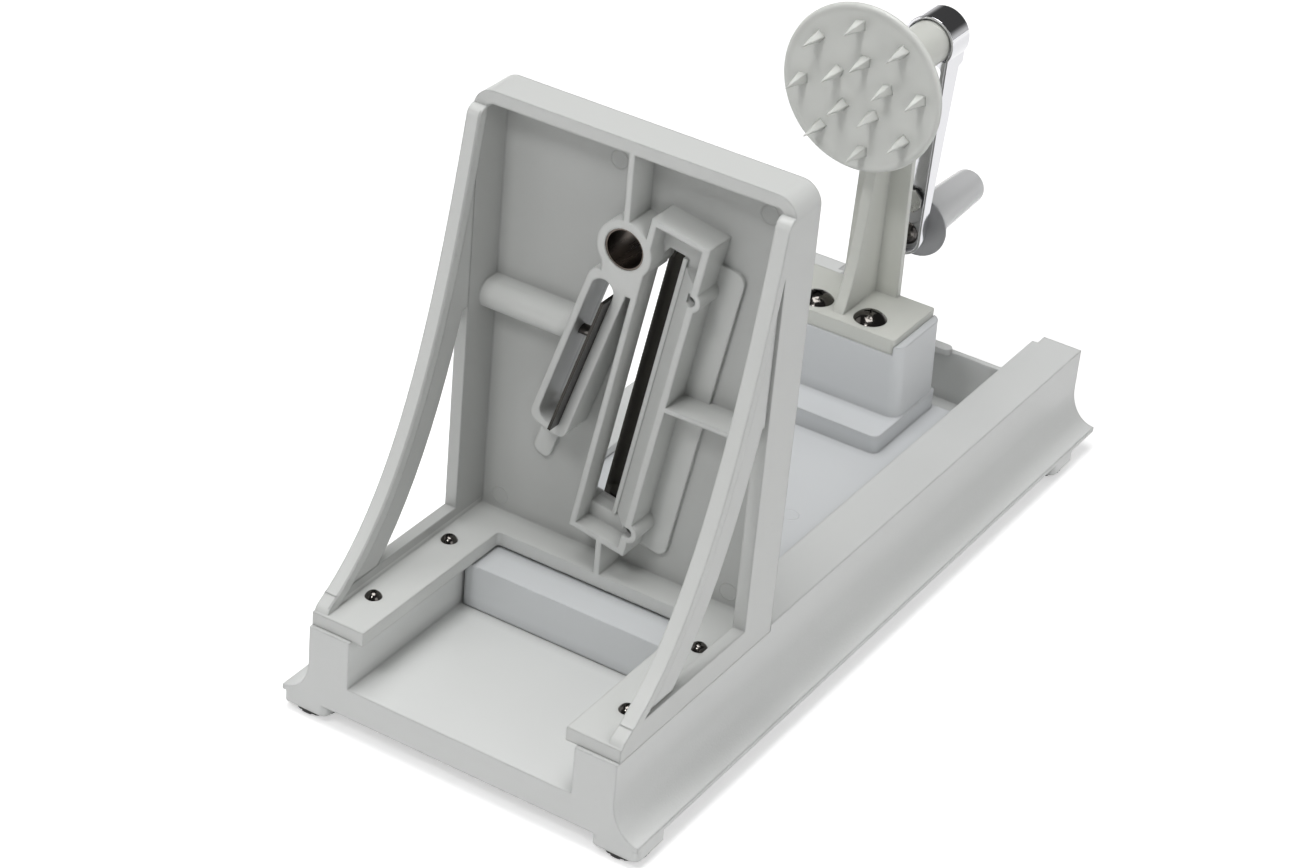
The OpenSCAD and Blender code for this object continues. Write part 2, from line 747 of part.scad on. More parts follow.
module blade_stand() {
    color([0.79, 0.80, 0.79]) place() difference() {
        union() {
            across(plate_front, stand_back) stand_outline(0, seat_z, rim_corner_r);
            across(rim_front, stand_back) difference() {
                stand_outline(0, seat_z, rim_corner_r);
                stand_outline(rim_t, flange_top, rim_corner_r - rim_t);
            }
            difference() {
                box(-half_rail, half_rail, flange_setback, rim_front + eps, seat_z, flange_top);
                translate([0, 0, seat_z - cut]) linear_extrude(flange_t + 2 * cut)
                    rounded(-flange_in, flange_in, -flange_in, rim_front, flange_corner_r);
            }
            intersection() {
                union() {
                    gusset();
                    mirror([1, 0, 0]) gusset();
                }
                across(0, stand_back) stand_outline(0, seat_z, rim_corner_r);
            }
            across(rim_front, stand_back - plate_t / 2) chute_plan();
            across(chute_floor, stand_back - plate_t / 2) flat_leaning(chute_lean) chute_bottom();
            leaning(chute_lean) chute_ramp();
            across(plate_front - pad_rise, stand_back - plate_t / 2) {
                flat_leaning(chute_lean) rounded(slot_right + 1, pad_right, pad_low, pad_high, pad_corner_r);
                flat_leaning(comb_lean) rounded(comb_slot_left - 1.2, comb_slot_right - 2.9,
                    comb_slot_low - comb_pad_len, comb_slot_low, pad_corner_r - 1);
            }
            clamp_boss();
        }
        rod_y(0, axis_z, tube_r + seat_gap, rim_front - cut, stand_back + cut);
        across(rim_front - cut, stand_back + cut) {
            flat_leaning(chute_lean) main_slot();
            flat_leaning(comb_lean) comb_slot();
        }
        across(rim_front - cut, rim_front + post_pit_depth) flat_leaning(chute_lean)
            for (p = [post_high, post_low]) translate(p) post_pit();
        leaning(chute_lean) {
            blade_wedge(blade_low - pocket_gap, blade_high + pocket_gap, pocket_gap);
            lip_cut();
            for (p = [post_high, post_low])
                rod_y(p[0], p[1], blade_screw_r + seat_gap, rim_front - cut, stand_back + cut);
        }
        rod_x(clamp_y, clamp_z, clamp_r + run_gap, -half_rail - cut, clamp_tip_x);
        rod_x(clamp_y, clamp_z, insert_r + seat_gap, insert_x - seat_gap, insert_x + insert_len + seat_gap);
        for (s = [-1, 1], y = stand_screw_ys)
            rod_z(s * stand_screw_x, y, screw_r + 0.2, seat_z - cut, flange_top + cut);
    }
}

// Tube along X that guides the clamp screw, with a web down to the plate
module clamp_boss() {
    rod_x(clamp_y, clamp_z, clamp_boss_r, -side_in - eps, insert_x + insert_len + 2);
    box(-side_in - eps, insert_x + insert_len + 2, clamp_y, plate_front + eps,
        clamp_z - clamp_boss_r, clamp_z + clamp_boss_r);
}

module stand_screws() {
    color([0.30, 0.29, 0.28]) place() for (s = [-1, 1], y = stand_screw_ys)
        translate([s * stand_screw_x, y, flange_top + seat_gap])
            domed_screw(screw_head_r, screw_head_h, screw_r, flange_t + screw_len - 4);
}

module coring_tube() {
    color([0.45, 0.45, 0.46]) place() translate([0, rim_front + 0.5, axis_z]) rotate([-90, 0, 0])
        rotate_extrude() polygon([[tube_r - tube_wall, 0], [tube_r, 0],
            [tube_r, rim_depth + tube_out - 2.5], [tube_r - tube_wall + 0.1, rim_depth + tube_out - 0.5],
            [tube_r - tube_wall, rim_depth + tube_out - 0.5]]);
}

module main_blade() {
    lift = blade_w * tan(blade_tilt);
    bevel = bevel_w * tan(blade_tilt);
    color([0.38, 0.38, 0.39]) place() leaning(chute_lean) difference() {
        translate([0, seat_gap, blade_low]) linear_extrude(blade_high - blade_low) polygon([
            [blade_right, pocket_floor], [blade_edge + bevel_w, pocket_floor + lift - bevel],
            [blade_edge, pocket_floor + lift + blade_t - 0.1], [blade_edge, pocket_floor + lift + blade_t],
            [blade_right, pocket_floor + blade_t]]);
        for (p = [post_high, post_low])
            rod_y(p[0], p[1], blade_screw_r + 0.3, pocket_floor - cut, stand_back + 5);
    }
}

// Low button-headed screws that hold the main blade from behind
module blade_screws() {
    lift = (blade_right - post_high[0] + blade_head_r) * tan(blade_tilt);
    color([0.30, 0.29, 0.28]) place() leaning(chute_lean) for (p = [post_high, post_low])
        translate([p[0], pocket_floor + blade_t + lift + 2 * seat_gap, p[1]]) rotate([-90, 0, 0])
            domed_screw(blade_head_r, blade_head_h, blade_screw_r, blade_screw_len);
}

module clamp_insert() {
    color([0.72, 0.58, 0.30]) place() difference() {
        union() {
            rod_x(clamp_y, clamp_z, insert_r, insert_x, insert_x + 3);
            rod_x(clamp_y, clamp_z, insert_r - 0.6, insert_x + 3 - eps, insert_x + 5);
            rod_x(clamp_y, clamp_z, insert_r, insert_x + 5 - eps, insert_x + insert_len);
        }
        rod_x(clamp_y, clamp_z, clamp_r + run_gap, insert_x - cut, insert_x + insert_len + cut);
    }
}

// Strip with pointed teeth on its rear edge, standing on edge in the comb slot
module comb_blade() {
    pitch = comb_len / comb_teeth;
    teeth = [for (i = [0:comb_teeth - 1], p = [[0.12, 1], [0.5, 0], [0.88, 1]])
        [comb_back - comb_tooth_h * p[1], comb_low + (i + p[0]) * pitch]];
    color([0.36, 0.36, 0.37]) place() leaning(comb_lean) along(comb_u, comb_u + comb_t)
        polygon(concat([[comb_front, comb_low], [comb_back - comb_tooth_h, comb_low]], teeth,
            [[comb_back - comb_tooth_h, comb_low + comb_len], [comb_front, comb_low + comb_len]]));
}

module clamp_screw() {
    color([0.28, 0.27, 0.26]) place() union() {
        rod_x(clamp_y, clamp_z, clamp_r, -half_rail - knob_gap - knob_hold, clamp_tip_x - clamp_point);
        translate([clamp_tip_x - clamp_point - eps, clamp_y, clamp_z]) rotate([0, 90, 0])
            cylinder(r1 = clamp_r, r2 = clamp_r - 0.7, h = clamp_point);
    }
}

module clamp_knob() {
    color([0.78, 0.79, 0.78]) place() difference() {
        translate([-knob_end, clamp_y, clamp_z]) rotate([0, 90, 0]) rotate_extrude() polygon([[0, 0],
            [knob_r - 1.5, 0], [knob_r, 1.5], [knob_r, knob_len - 2],
            [knob_r - 2.5, knob_len], [0, knob_len]]);
        rod_x(clamp_y, clamp_z, clamp_r + seat_gap, -half_rail - knob_gap - knob_hold - seat_gap, -half_rail);
        for (i = [0:knob_grooves - 1]) {
            turn = i * 360 / knob_grooves;
            rod_x(clamp_y + knob_r * cos(turn), clamp_z + knob_r * sin(turn), 0.9,
                -knob_end - cut, -half_rail - knob_gap - 2.4);
        }
    }
}

// Pedestal shell as a lofted block; inset 0 is the outside
module pedestal(inset, top) {
    hull() {
        translate([0, 0, tray_top - cut]) linear_extrude(eps) rounded(
            -pedestal_w / 2 - pedestal_draft + inset, pedestal_w / 2 + pedestal_draft - inset,
            pedestal_y + inset, tray_back - inset, pedestal_corner_r - inset / 2, $fn = 32);
        translate([0, 0, top - eps]) linear_extrude(eps) rounded(
            -pedestal_w / 2 + inset, pedestal_w / 2 - inset,
            pedestal_y + pedestal_lean + inset, pedestal_back - inset,
            pedestal_corner_r - inset / 2, $fn = 32);
    }
}

module tray() {
    color([0.80, 0.82, 0.84]) place() difference() {
        union() {
            translate([0, 0, tray_z]) linear_extrude(tray_top - tray_z) union() {
                rounded(-half_tray, half_tray, tray_front, tray_back - 20, tray_corner_r);
                translate([-half_tray, tray_back - 40]) square([2 * half_tray, 40]);
            }
            translate([0, 0, tray_top - eps]) linear_extrude(ledge_h + eps)
                rounded(-ledge_half, ledge_half, ledge_y, tray_back, 3);
            pedestal(0, pedestal_top);
        }
        tray_hollow();
        pedestal(tray_wall, foot_seat - tray_wall);
        box(-foot_half - seat_gap, foot_half + seat_gap, pedestal_y - cut, foot_back + cut,
            foot_seat, pedestal_top + cut);
        for (s = [-1, 1])
            rod_z(s * big_screw_x, big_screw_y, big_screw_r + 0.1, foot_seat - tray_wall - cut, pedestal_top);
    }
}

// Hollows under the slab, between two lengthwise ribs
module tray_hollow() {
    rib = tray_wall - 0.6;
    thirds = (2 * half_tray - 2 * tray_wall - 2 * rib) / 3;
    for (i = [0:2]) {
        x = -half_tray + tray_wall + i * (thirds + rib);
        box(x, x + thirds, tray_front + tray_wall, tray_back - tray_wall, tray_z - cut, tray_top - tray_wall);
    }
    box(-pedestal_w / 2 + tray_wall, pedestal_w / 2 - tray_wall, pedestal_y + 2 * tray_wall,
        tray_back - 2 * tray_wall, tray_top - tray_wall - cut, tray_top + cut);
}

// Side profile of the post's web, with a flared foot
module post_web() {
    web = [[web_foot_y, foot_top], [web_foot_y + 9, foot_top + 18], [web_head_y - 4, foot_top + 40],
        [web_head_y, axis_z]];
    polygon(concat([[panel_front + eps, foot_seat + 2], [web_foot_y, foot_seat + 2]],
        cubic_line(web, 0, post_steps), [[panel_front + eps, axis_z]]));
}

module crank_stand() {
    color([0.80, 0.81, 0.76]) place() difference() {
        union() {
            translate([0, 0, foot_seat + seat_gap]) linear_extrude(foot_plate_t - seat_gap)
                rounded(-foot_half, foot_half, foot_y, foot_back, 1.5);
            along(-web_t / 2, web_t / 2) post_web();
            across(panel_front, foot_back) polygon([
                [-panel_foot, foot_top - eps], [panel_foot, foot_top - eps],
                [panel_foot - 2, axis_z], [-panel_foot + 2, axis_z]]);
            rod_y(0, axis_z, boss_r, boss_front, boss_back);
            rod_y(0, axis_z, panel_foot - 2, panel_front, foot_back);
        }
        rod_y(0, axis_z, shaft_r + 1, boss_front - cut, boss_back + cut);
        for (y = [boss_front - cut, boss_back - bush_len - seat_gap])
            rod_y(0, axis_z, bush_r + seat_gap, y, y + bush_len + cut + seat_gap);
        for (s = [-1, 1])
            rod_z(s * big_screw_x, big_screw_y, big_screw_r + 0.1, foot_seat - cut, foot_top + cut);
    }
}

module crank_stand_screws() {
    color([0.22, 0.21, 0.20]) place() for (s = [-1, 1])
        translate([s * big_screw_x, big_screw_y, foot_top + seat_gap])
            domed_screw(big_head_r, big_head_h, big_screw_r, big_screw_len);
}

module crank_stand_nuts() {
    z = foot_seat - tray_wall - seat_gap - nut_h;
    color([0.60, 0.60, 0.60]) place() for (s = [-1, 1]) difference() {
        translate([s * big_screw_x, big_screw_y, z]) cylinder(r = nut_r, h = nut_h, $fn = 6);
        rod_z(s * big_screw_x, big_screw_y, big_screw_r + seat_gap, z - cut, z + nut_h + cut);
    }
}

// Flanged sleeve on the shaft; dir is the way its flange faces
module bush(y, dir) {
    translate([0, y, axis_z]) rotate([dir > 0 ? -90 : 90, 0, 0]) translate([0, 0, seat_gap]) rotate_extrude()
        polygon([[shaft_r + run_gap, -bush_len], [bush_r, -bush_len], [bush_r, 0], [bush_flange_r, 0],
            [bush_flange_r, bush_flange_t], [shaft_r + run_gap, bush_flange_t]]);
}

module shaft_bushes() {
    color([0.90, 0.90, 0.88]) place() {
        bush(boss_front, -1);
        bush(boss_back, 1);
    }
}

module crank_shaft() {
    color([0.62, 0.62, 0.63]) place() difference() {
        rod_y(0, axis_z, shaft_r, shaft_front, shaft_back);
        rod_z(0, disc_pin_y, disc_pin_r + seat_gap, axis_z - disc_hub_r - cut, axis_z + disc_hub_r + cut);
        rod_y(0, axis_z, crank_screw_r + seat_gap, shaft_back - crank_screw_hold - 1, shaft_back + cut);
    }
}

// Four-sided spike that points to -Y from the disc's face
module spike(ring, angle) {
    translate([ring * cos(angle), disc_front + eps, axis_z + ring * sin(angle)])
        rotate([90, 0, 0]) rotate([0, 0, angle + 45])
            cylinder(r1 = spike_w / sqrt(2), r2 = 0.15, h = spike_h, $fn = 4);
}

module spiked_disc() {
    color([0.84, 0.85, 0.84]) place() difference() {
        union() {
            translate([0, disc_front, axis_z]) rotate([-90, 0, 0]) rotate_extrude() polygon(concat(
                [[0, 0]], arc([disc_r - disc_rim_t / 2, disc_rim_t / 2], disc_rim_t / 2, -90, 90, 8),
                [[disc_r * 0.8, disc_rim_t + disc_crown * 0.5], [disc_hub_r + 3, disc_rim_t + disc_crown],
                [disc_hub_r, disc_rim_t + disc_crown + 1], [disc_hub_r, disc_back - disc_front],
                [0, disc_back - disc_front]]));
            for (i = [0:outer_spikes - 1]) spike(outer_ring_r, outer_phase + i * 360 / outer_spikes);
            for (i = [0:inner_spikes - 1]) spike(inner_ring_r, inner_phase + i * 360 / inner_spikes);
        }
        rod_y(0, axis_z, shaft_r + seat_gap, shaft_front - seat_gap, disc_back + cut);
        rod_z(0, disc_pin_y, disc_pin_r + seat_gap, axis_z - disc_hub_r - cut, axis_z + disc_hub_r + cut);
    }
}

module disc_pin() {
    color([0.55, 0.55, 0.56]) place()
        rod_z(0, disc_pin_y, disc_pin_r, axis_z - disc_hub_r + 0.4, axis_z + disc_hub_r - 0.4);
}

module thrust_washer() {
    color([0.70, 0.70, 0.70]) place() difference() {
        rod_y(0, axis_z, disc_hub_r - 0.3, disc_back + seat_gap, disc_back + seat_gap + washer_t);
        rod_y(0, axis_z, shaft_r + seat_gap, disc_back - cut, disc_back + washer_t + cut);
    }
}

// Front outline of the arm: hub, tapering bar and rounded end
module arm_outline(inset) {
    translate([0, axis_z]) circle(hub_r - inset);
    translate([0, pin_z]) circle(arm_end_r - inset);
    polygon([[-arm_top_half + inset, axis_z], [-arm_end_r + inset, pin_z],
        [arm_end_r - inset, pin_z], [arm_top_half - inset, axis_z]]);
}

// Side profile that the arm's depth follows
module arm_depth(inset) {
    polygon([[arm_front - cut * inset, pin_z - arm_end_r - 1], [arm_back_low - inset, pin_z - arm_end_r - 1],
        [arm_back_low - inset, pin_z + arm_end_r], [arm_back_high - inset, axis_z - hub_r],
        [hub_back - inset, axis_z - hub_r + 1], [hub_back - inset, axis_z + hub_r + 1],
        [arm_front - cut * inset, axis_z + hub_r + 1]]);
}

module arm_solid(inset) {
    intersection() {
        across(arm_front - cut * inset, hub_back + 1) arm_outline(inset);
        along(-hub_r - 1, hub_r + 1) arm_depth(inset);
    }
}

module crank_arm() {
    color([0.78, 0.78, 0.80]) place() difference() {
        arm_solid(0);
        arm_solid(sheet_t);
        rod_y(0, axis_z, crank_screw_r + 0.1, arm_front - cut, hub_back + cut);
        rod_y(0, pin_z, handle_screw_r + 0.1, arm_front - cut, hub_back + cut);
        across(arm_front - cut, hub_back + cut) translate([0, arm_slot_z])
            round_ended(arm_slot_r, arm_slot_len);
    }
}

module crank_screw() {
    color([0.30, 0.29, 0.28]) place() translate([0, hub_back + seat_gap, axis_z]) rotate([-90, 0, 0])
        domed_screw(handle_head_r, handle_head_h, crank_screw_r, sheet_t + crank_screw_hold);
}

// Spindle that the grip turns on, shouldered against the arm, with a head in the grip's end
module handle_pin() {
    head_y = grip_back - pin_recess + clear;
    color([0.60, 0.60, 0.62]) place() difference() {
        union() {
            rod_y(0, pin_z, pin_r + 1.6, arm_back_low + seat_gap, guard_y - clear);
            rod_y(0, pin_z, pin_r, guard_y - clear - eps, head_y + eps);
            rod_y(0, pin_z, pin_head_r, head_y, head_y + pin_head_t);
        }
        rod_y(0, pin_z, handle_screw_r + seat_gap, arm_back_low - cut,
            arm_back_low + handle_screw_hold + 2);
    }
}

// Eight-sided plate pressed into the arm's channel above the pin
module handle_clip() {
    web_y = arm_back_low - sheet_t;
    slope = (arm_back_high - arm_back_low) / (crank_r - hub_r - arm_end_r);
    clip_back = web_y + (clip_z - clip_r - pin_z - arm_end_r) * slope - seat_gap;
    color([0.74, 0.74, 0.76]) place() translate([0, clip_back, clip_z]) rotate([90, 0, 0])
        rotate([0, 0, 22.5]) cylinder(r = clip_r, h = clip_t, $fn = 8);
}

module handle_screw() {
    seat_y = arm_back_low - sheet_t - seat_gap;
    color([0.14, 0.13, 0.13]) place() translate([0, seat_y, pin_z]) rotate([90, 0, 0])
        domed_screw(handle_head_r, handle_head_h, handle_screw_r, sheet_t + handle_screw_hold);
}

module grip() {
    color([0.85, 0.85, 0.84]) place() translate([0, grip_y, pin_z]) rotate([-90, 0, 0]) rotate_extrude()
        polygon(concat([[pin_r + run_gap, 0], [grip_r, 0]],
            arc([grip_end_r - 2, grip_len - 2], 2, 0, 90, 6),
            [[pin_head_r + clear, grip_len], [pin_head_r + clear, grip_len - pin_recess],
            [pin_r + run_gap, grip_len - pin_recess]]));
}

// Saucer between the hand and the arm, hollow towards the arm
module grip_guard() {
    color([0.55, 0.56, 0.57]) place() translate([0, guard_y, pin_z]) rotate([-90, 0, 0]) rotate_extrude()
        polygon([[pin_r + run_gap, 1.2], [pin_r + 3, 1.2], [guard_r - 3, 0.4], [guard_r - 0.5, -1],
            [guard_r, -0.4], [guard_r - 2, 1.6], [grip_r + 1, guard_t - 0.2],
            [grip_r + 0.4, guard_t - 1 - seat_gap], [pin_r + run_gap, guard_t - 1 - seat_gap]]);
}

base();
rubber_feet();
blade_stand();
stand_screws();
coring_tube();
main_blade();
blade_screws();
clamp_insert();
comb_blade();
clamp_screw();
clamp_knob();
tray();
crank_stand();
crank_stand_screws();
crank_stand_nuts();
shaft_bushes();
crank_shaft();
spiked_disc();
disc_pin();
thrust_washer();
crank_arm();
crank_screw();
handle_pin();
handle_clip();
handle_screw();
grip();
grip_guard();
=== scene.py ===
"""Spiral slicer: finishes, softened edges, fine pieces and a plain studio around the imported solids.

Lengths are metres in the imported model's frame: +X to the right of the photograph, +Y along the
slide towards the crank, +Z up, with the origin on the table under the middle of the object.
"""

import logging
import math
from dataclasses import dataclass, field
from enum import Enum
from typing import Callable, Iterable, Optional, Union

import bpy
from mathutils import Matrix, Vector


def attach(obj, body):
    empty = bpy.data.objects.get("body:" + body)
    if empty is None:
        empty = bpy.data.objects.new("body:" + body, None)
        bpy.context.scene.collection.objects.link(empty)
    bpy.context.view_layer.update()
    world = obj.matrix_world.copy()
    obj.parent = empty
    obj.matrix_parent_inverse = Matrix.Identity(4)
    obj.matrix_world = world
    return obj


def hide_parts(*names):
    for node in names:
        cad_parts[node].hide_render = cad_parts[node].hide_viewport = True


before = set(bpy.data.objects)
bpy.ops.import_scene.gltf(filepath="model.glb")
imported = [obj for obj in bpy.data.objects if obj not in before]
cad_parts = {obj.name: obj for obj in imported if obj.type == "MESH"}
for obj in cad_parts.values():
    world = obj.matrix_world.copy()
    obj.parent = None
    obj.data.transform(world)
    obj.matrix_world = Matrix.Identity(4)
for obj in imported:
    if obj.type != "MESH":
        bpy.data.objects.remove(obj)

LOG = logging.getLogger("spiral_slicer")
MM = 0.001

TOUCHING = 0.001 * MM
SMOOTH_ANGLE = math.radians(34.0)
AXIS_BACK = Matrix.Rotation(math.radians(-90.0), 4, "X")
AXIS_FORWARD = Matrix.Rotation(math.radians(90.0), 4, "X")

Colour = tuple[float, float, float]
Point = tuple[float, float, float]
Ring = tuple[float, float]


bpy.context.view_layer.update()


def shaded(colour: Colour, tone: float) -> Colour:
    """Returns a colour multiplied by a factor."""
    return tuple(part * tone for part in colour)


def in_metres(profile: Iterable[Ring]) -> list[Ring]:
    """Returns a profile that is written in millimetres in metres."""
    return [(radius * MM, height * MM) for radius, height in profile]


def arc(centre: Ring, radius: float, first: float, last: float, steps: int = 8) -> list[Ring]:
    """Lays rings along an arc of a profile.

    Args:
        centre: The arc's centre, as a (radius, height) pair.
        radius: The arc's own radius.
        first: The angle of its first ring in degrees, with 0 straight outwards.
        last: The angle of its last ring.
        steps: How many parts it has.

    Returns:
        The rings.
    """
    out, up = centre
    angles = [math.radians(first + (last - first) * step / steps) for step in range(steps + 1)]
    return [(out + radius * math.cos(angle), up + radius * math.sin(angle)) for angle in angles]


class Body(Enum):
    """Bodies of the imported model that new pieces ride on."""

    FRAME = "frame"
    CARRIAGE = "carriage"
    CRANK = "crank"
    HANDLE = "handle"


class Value:
    """A shader socket that takes part in Python arithmetic."""

    def __init__(self, graph: "Graph", socket: bpy.types.NodeSocket) -> None:
        """Wraps a socket.

        Args:
            graph: The graph that the socket belongs to.
            socket: The output socket to wrap.
        """
        self.graph = graph
        self.socket = socket

    def _math(self, operation: str, *values: Union["Value", float]) -> "Value":
        """Adds a Math node.

        Args:
            operation: The Math node's operation.
            values: What its inputs take, in order.

        Returns:
            The node's output.
        """
        return self.graph.node("ShaderNodeMath", {"operation": operation}, dict(enumerate(values)))

    def __add__(self, other: Union["Value", float]) -> "Value":
        """Returns the sum."""
        return self._math("ADD", self, other)

    def __radd__(self, other: float) -> "Value":
        """Returns the sum."""
        return self._math("ADD", other, self)

    def __sub__(self, other: Union["Value", float]) -> "Value":
        """Returns the difference."""
        return self._math("SUBTRACT", self, other)

    def __rsub__(self, other: float) -> "Value":
        """Returns the difference the other way round."""
        return self._math("SUBTRACT", other, self)

    def __mul__(self, other: Union["Value", float]) -> "Value":
        """Returns the product."""
        return self._math("MULTIPLY", self, other)

    def __rmul__(self, other: float) -> "Value":
        """Returns the product."""
        return self._math("MULTIPLY", other, self)

    def above(self, edge: float, width: float) -> "Value":
        """Eases from 0 below an edge to 1 above it.

        Args:
            edge: Where the change is half done.
            width: How wide the change is.

        Returns:
            The eased value.
        """
        return self.graph.node(
            "ShaderNodeMapRange",
            {"interpolation_type": "SMOOTHSTEP"},
            {"Value": self, "From Min": edge - width / 2, "From Max": edge + width / 2},
        )

    def below(self, edge: float, width: float) -> "Value":
        """Returns 1 below an edge and 0 above it, eased over a width."""
        return 1 - self.above(edge, width)

    def capped(self, limit: float) -> "Value":
        """Returns the value, or the limit where the value is higher."""
        return self._math("MINIMUM", self, limit)


class Graph:
    """The node graph of one material or world."""

    EDGE_SAMPLES = 4
    CORNER_SAMPLES = 6

    def __init__(self, owner: Union[bpy.types.Material, bpy.types.World]) -> None:
        """Empties the owner's graph.

        Args:
            owner: The material or the world.
        """
        self.owner = owner
        self.owner.use_nodes = True
        self.tree = self.owner.node_tree
        self.tree.nodes.clear()
        self._coordinates: Optional[Value] = None

    @classmethod
    def material(cls, name: str) -> "Graph":
        """Returns the empty graph of a new material."""
        return cls(bpy.data.materials.new(name))

    def node(
        self,
        kind: str,
        settings: Optional[dict[str, object]] = None,
        inputs: Optional[dict[Union[str, int], object]] = None,
        output: Union[str, int] = 0,
    ) -> Value:
        """Adds a node, sets it up and links it.

        Args:
            kind: The node's type.
            settings: Its properties.
            inputs: Values or links for its sockets, by name or number.
            output: The output socket to return.

        Returns:
            The chosen output.
        """
        made = self.tree.nodes.new(kind)
        for key, value in (settings or {}).items():
            setattr(made, key, value)
        for key, value in (inputs or {}).items():
            socket = made.inputs[key]
            if isinstance(value, Value):
                self.tree.links.new(value.socket, socket)
            elif isinstance(value, tuple) and len(value) == 3 and socket.type == "RGBA":
                socket.default_value = (*value, 1.0)
            else:
                socket.default_value = value
        return Value(self, made.outputs[output])

    def place(self) -> Value:
        """Looks up the Object coordinates, which are made once.

        Returns:
            The coordinates.
        """
        if self._coordinates is None:
            self._coordinates = self.node("ShaderNodeTexCoord", output="Object")
        return self._coordinates

    def axis(self, name: str) -> Value:
        """Returns one Object coordinate, "X", "Y" or "Z"."""
        return self.node("ShaderNodeSeparateXYZ", None, {"Vector": self.place()}, name)

    def stretched(self, scale: Point) -> Value:
        """Returns the Object coordinates multiplied along each axis."""
        return self.node("ShaderNodeMapping", None, {"Vector": self.place(), "Scale": scale})

    def noise(
        self,
        scale: float,
        detail: float,
        roughness: float,
        stretch: Optional[Point] = None,
    ) -> Value:
        """Adds a noise pattern on Object coordinates.

        Args:
            scale: Cells for each metre.
            detail: How many finer layers lie on top.
            roughness: How strong the finer layers are.
            stretch: A multiplier for each axis, or None.

        Returns:
            The pattern, from 0 to 1.
        """
        vector = self.place() if stretch is None else self.stretched(stretch)
        inputs = {"Vector": vector, "Scale": scale, "Detail": detail, "Roughness": roughness}
        return self.node("ShaderNodeTexNoise", None, inputs)

    def blend(self, factor: Union[Value, float], first: object, second: object) -> Value:
        """Mixes two colours.

        Args:
            factor: 0 gives the first and 1 the second.
            first: A colour or a link.
            second: A colour or a link.

        Returns:
            The mixed colour.
        """
        made = self.tree.nodes.new("ShaderNodeMix")
        made.data_type = "RGBA"
        for index, value in ((0, factor), (6, first), (7, second)):
            if isinstance(value, Value):
                self.tree.links.new(value.socket, made.inputs[index])
            elif index:
                made.inputs[index].default_value = (*value, 1.0)
            else:
                made.inputs[index].default_value = value
        return Value(self, made.outputs[2])

    def rounded(self, radius: float) -> Value:
        """Returns the surface's normal with its edges and inner corners rounded by a radius."""
        return self.node("ShaderNodeBevel", {"samples": self.EDGE_SAMPLES}, {"Radius": radius})

    def openness(self, reach: float) -> Value:
        """Returns 1 on open faces, falling towards 0 in inner corners, where it sets how much painted
        shade a colour gets.
        """
        settings = {"samples": self.CORNER_SAMPLES}
        return self.node("ShaderNodeAmbientOcclusion", settings, {"Distance": reach}, "AO")

    def bump(self, height: Value, depth: float, onto: Optional[Value] = None) -> Value:
        """Adds a Bump node.

        Args:
            height: The height pattern, from 0 to 1.
            depth: How deep the pattern is, in metres.
            onto: A normal to add to, or None.

        Returns:
            The bumped normal.
        """
        inputs: dict[Union[str, int], object] = {"Height": height, "Distance": depth, "Strength": 1.0}
        if onto is not None:
            inputs["Normal"] = onto
        return self.node("ShaderNodeBump", None, inputs)

    def finish(self, **inputs: object) -> bpy.types.Material:
        """Adds the Principled shader and the output.

        Args:
            inputs: The shader's sockets, with underscores for spaces.

        Returns:
            The finished material.
        """
        named = {key.replace("_", " "): value for key, value in inputs.items()}
        shader = self.node("ShaderNodeBsdfPrincipled", None, named)
        self.output("ShaderNodeOutputMaterial", shader)
        return self.owner

    def output(self, kind: str, shader: Value) -> None:
        """Adds the output node and links a shader to it."""
        made = self.tree.nodes.new(kind)
        self.tree.links.new(shader.socket, made.inputs["Surface"])

    def ray(self, name: str) -> Value:
        """Returns 1 for rays of one kind and 0 for the others."""
        return self.node("ShaderNodeLightPath", output=name)


@dataclass(frozen=True)
class Patch:
    """A box of Object coordinates in which a surface is coarser and, with a tone below 1, darker, which
    is wholly or partly painted shade.
    """

    low: Point
    high: Point
    tone: float = 1.0
    blur: float = 0.6 * MM

    def mask(self, graph: Graph) -> Value:
        """Marks the box.

        Args:
            graph: The graph that the mask is built in.

        Returns:
            1 inside the box and 0 outside it.
        """
        sides: list[Value] = []
        for name, low, high in zip("XYZ", self.low, self.high):
            along = graph.axis(name)
            sides += [along.above(low, self.blur), along.below(high, self.blur)]
        return math.prod(sides[1:], start=sides[0])


@dataclass(frozen=True)
class Mark:
    """The shallow round line that an ejector pin leaves on a moulding's face."""

    centre: Point
    radius: float = 3.4 * MM
    width: float = 0.45 * MM

    def line(self, graph: Graph) -> Value:
        """Draws the line.

        Args:
            graph: The graph that the line is drawn in.

        Returns:
            1 on the line and 0 elsewhere.
        """
        ends = {0: graph.place(), 1: self.centre}
        away = graph.node("ShaderNodeVectorMath", {"operation": "DISTANCE"}, ends, "Value")
        outer = away.below(self.radius + self.width / 2, self.width)
        return away.above(self.radius - self.width / 2, self.width) * outer


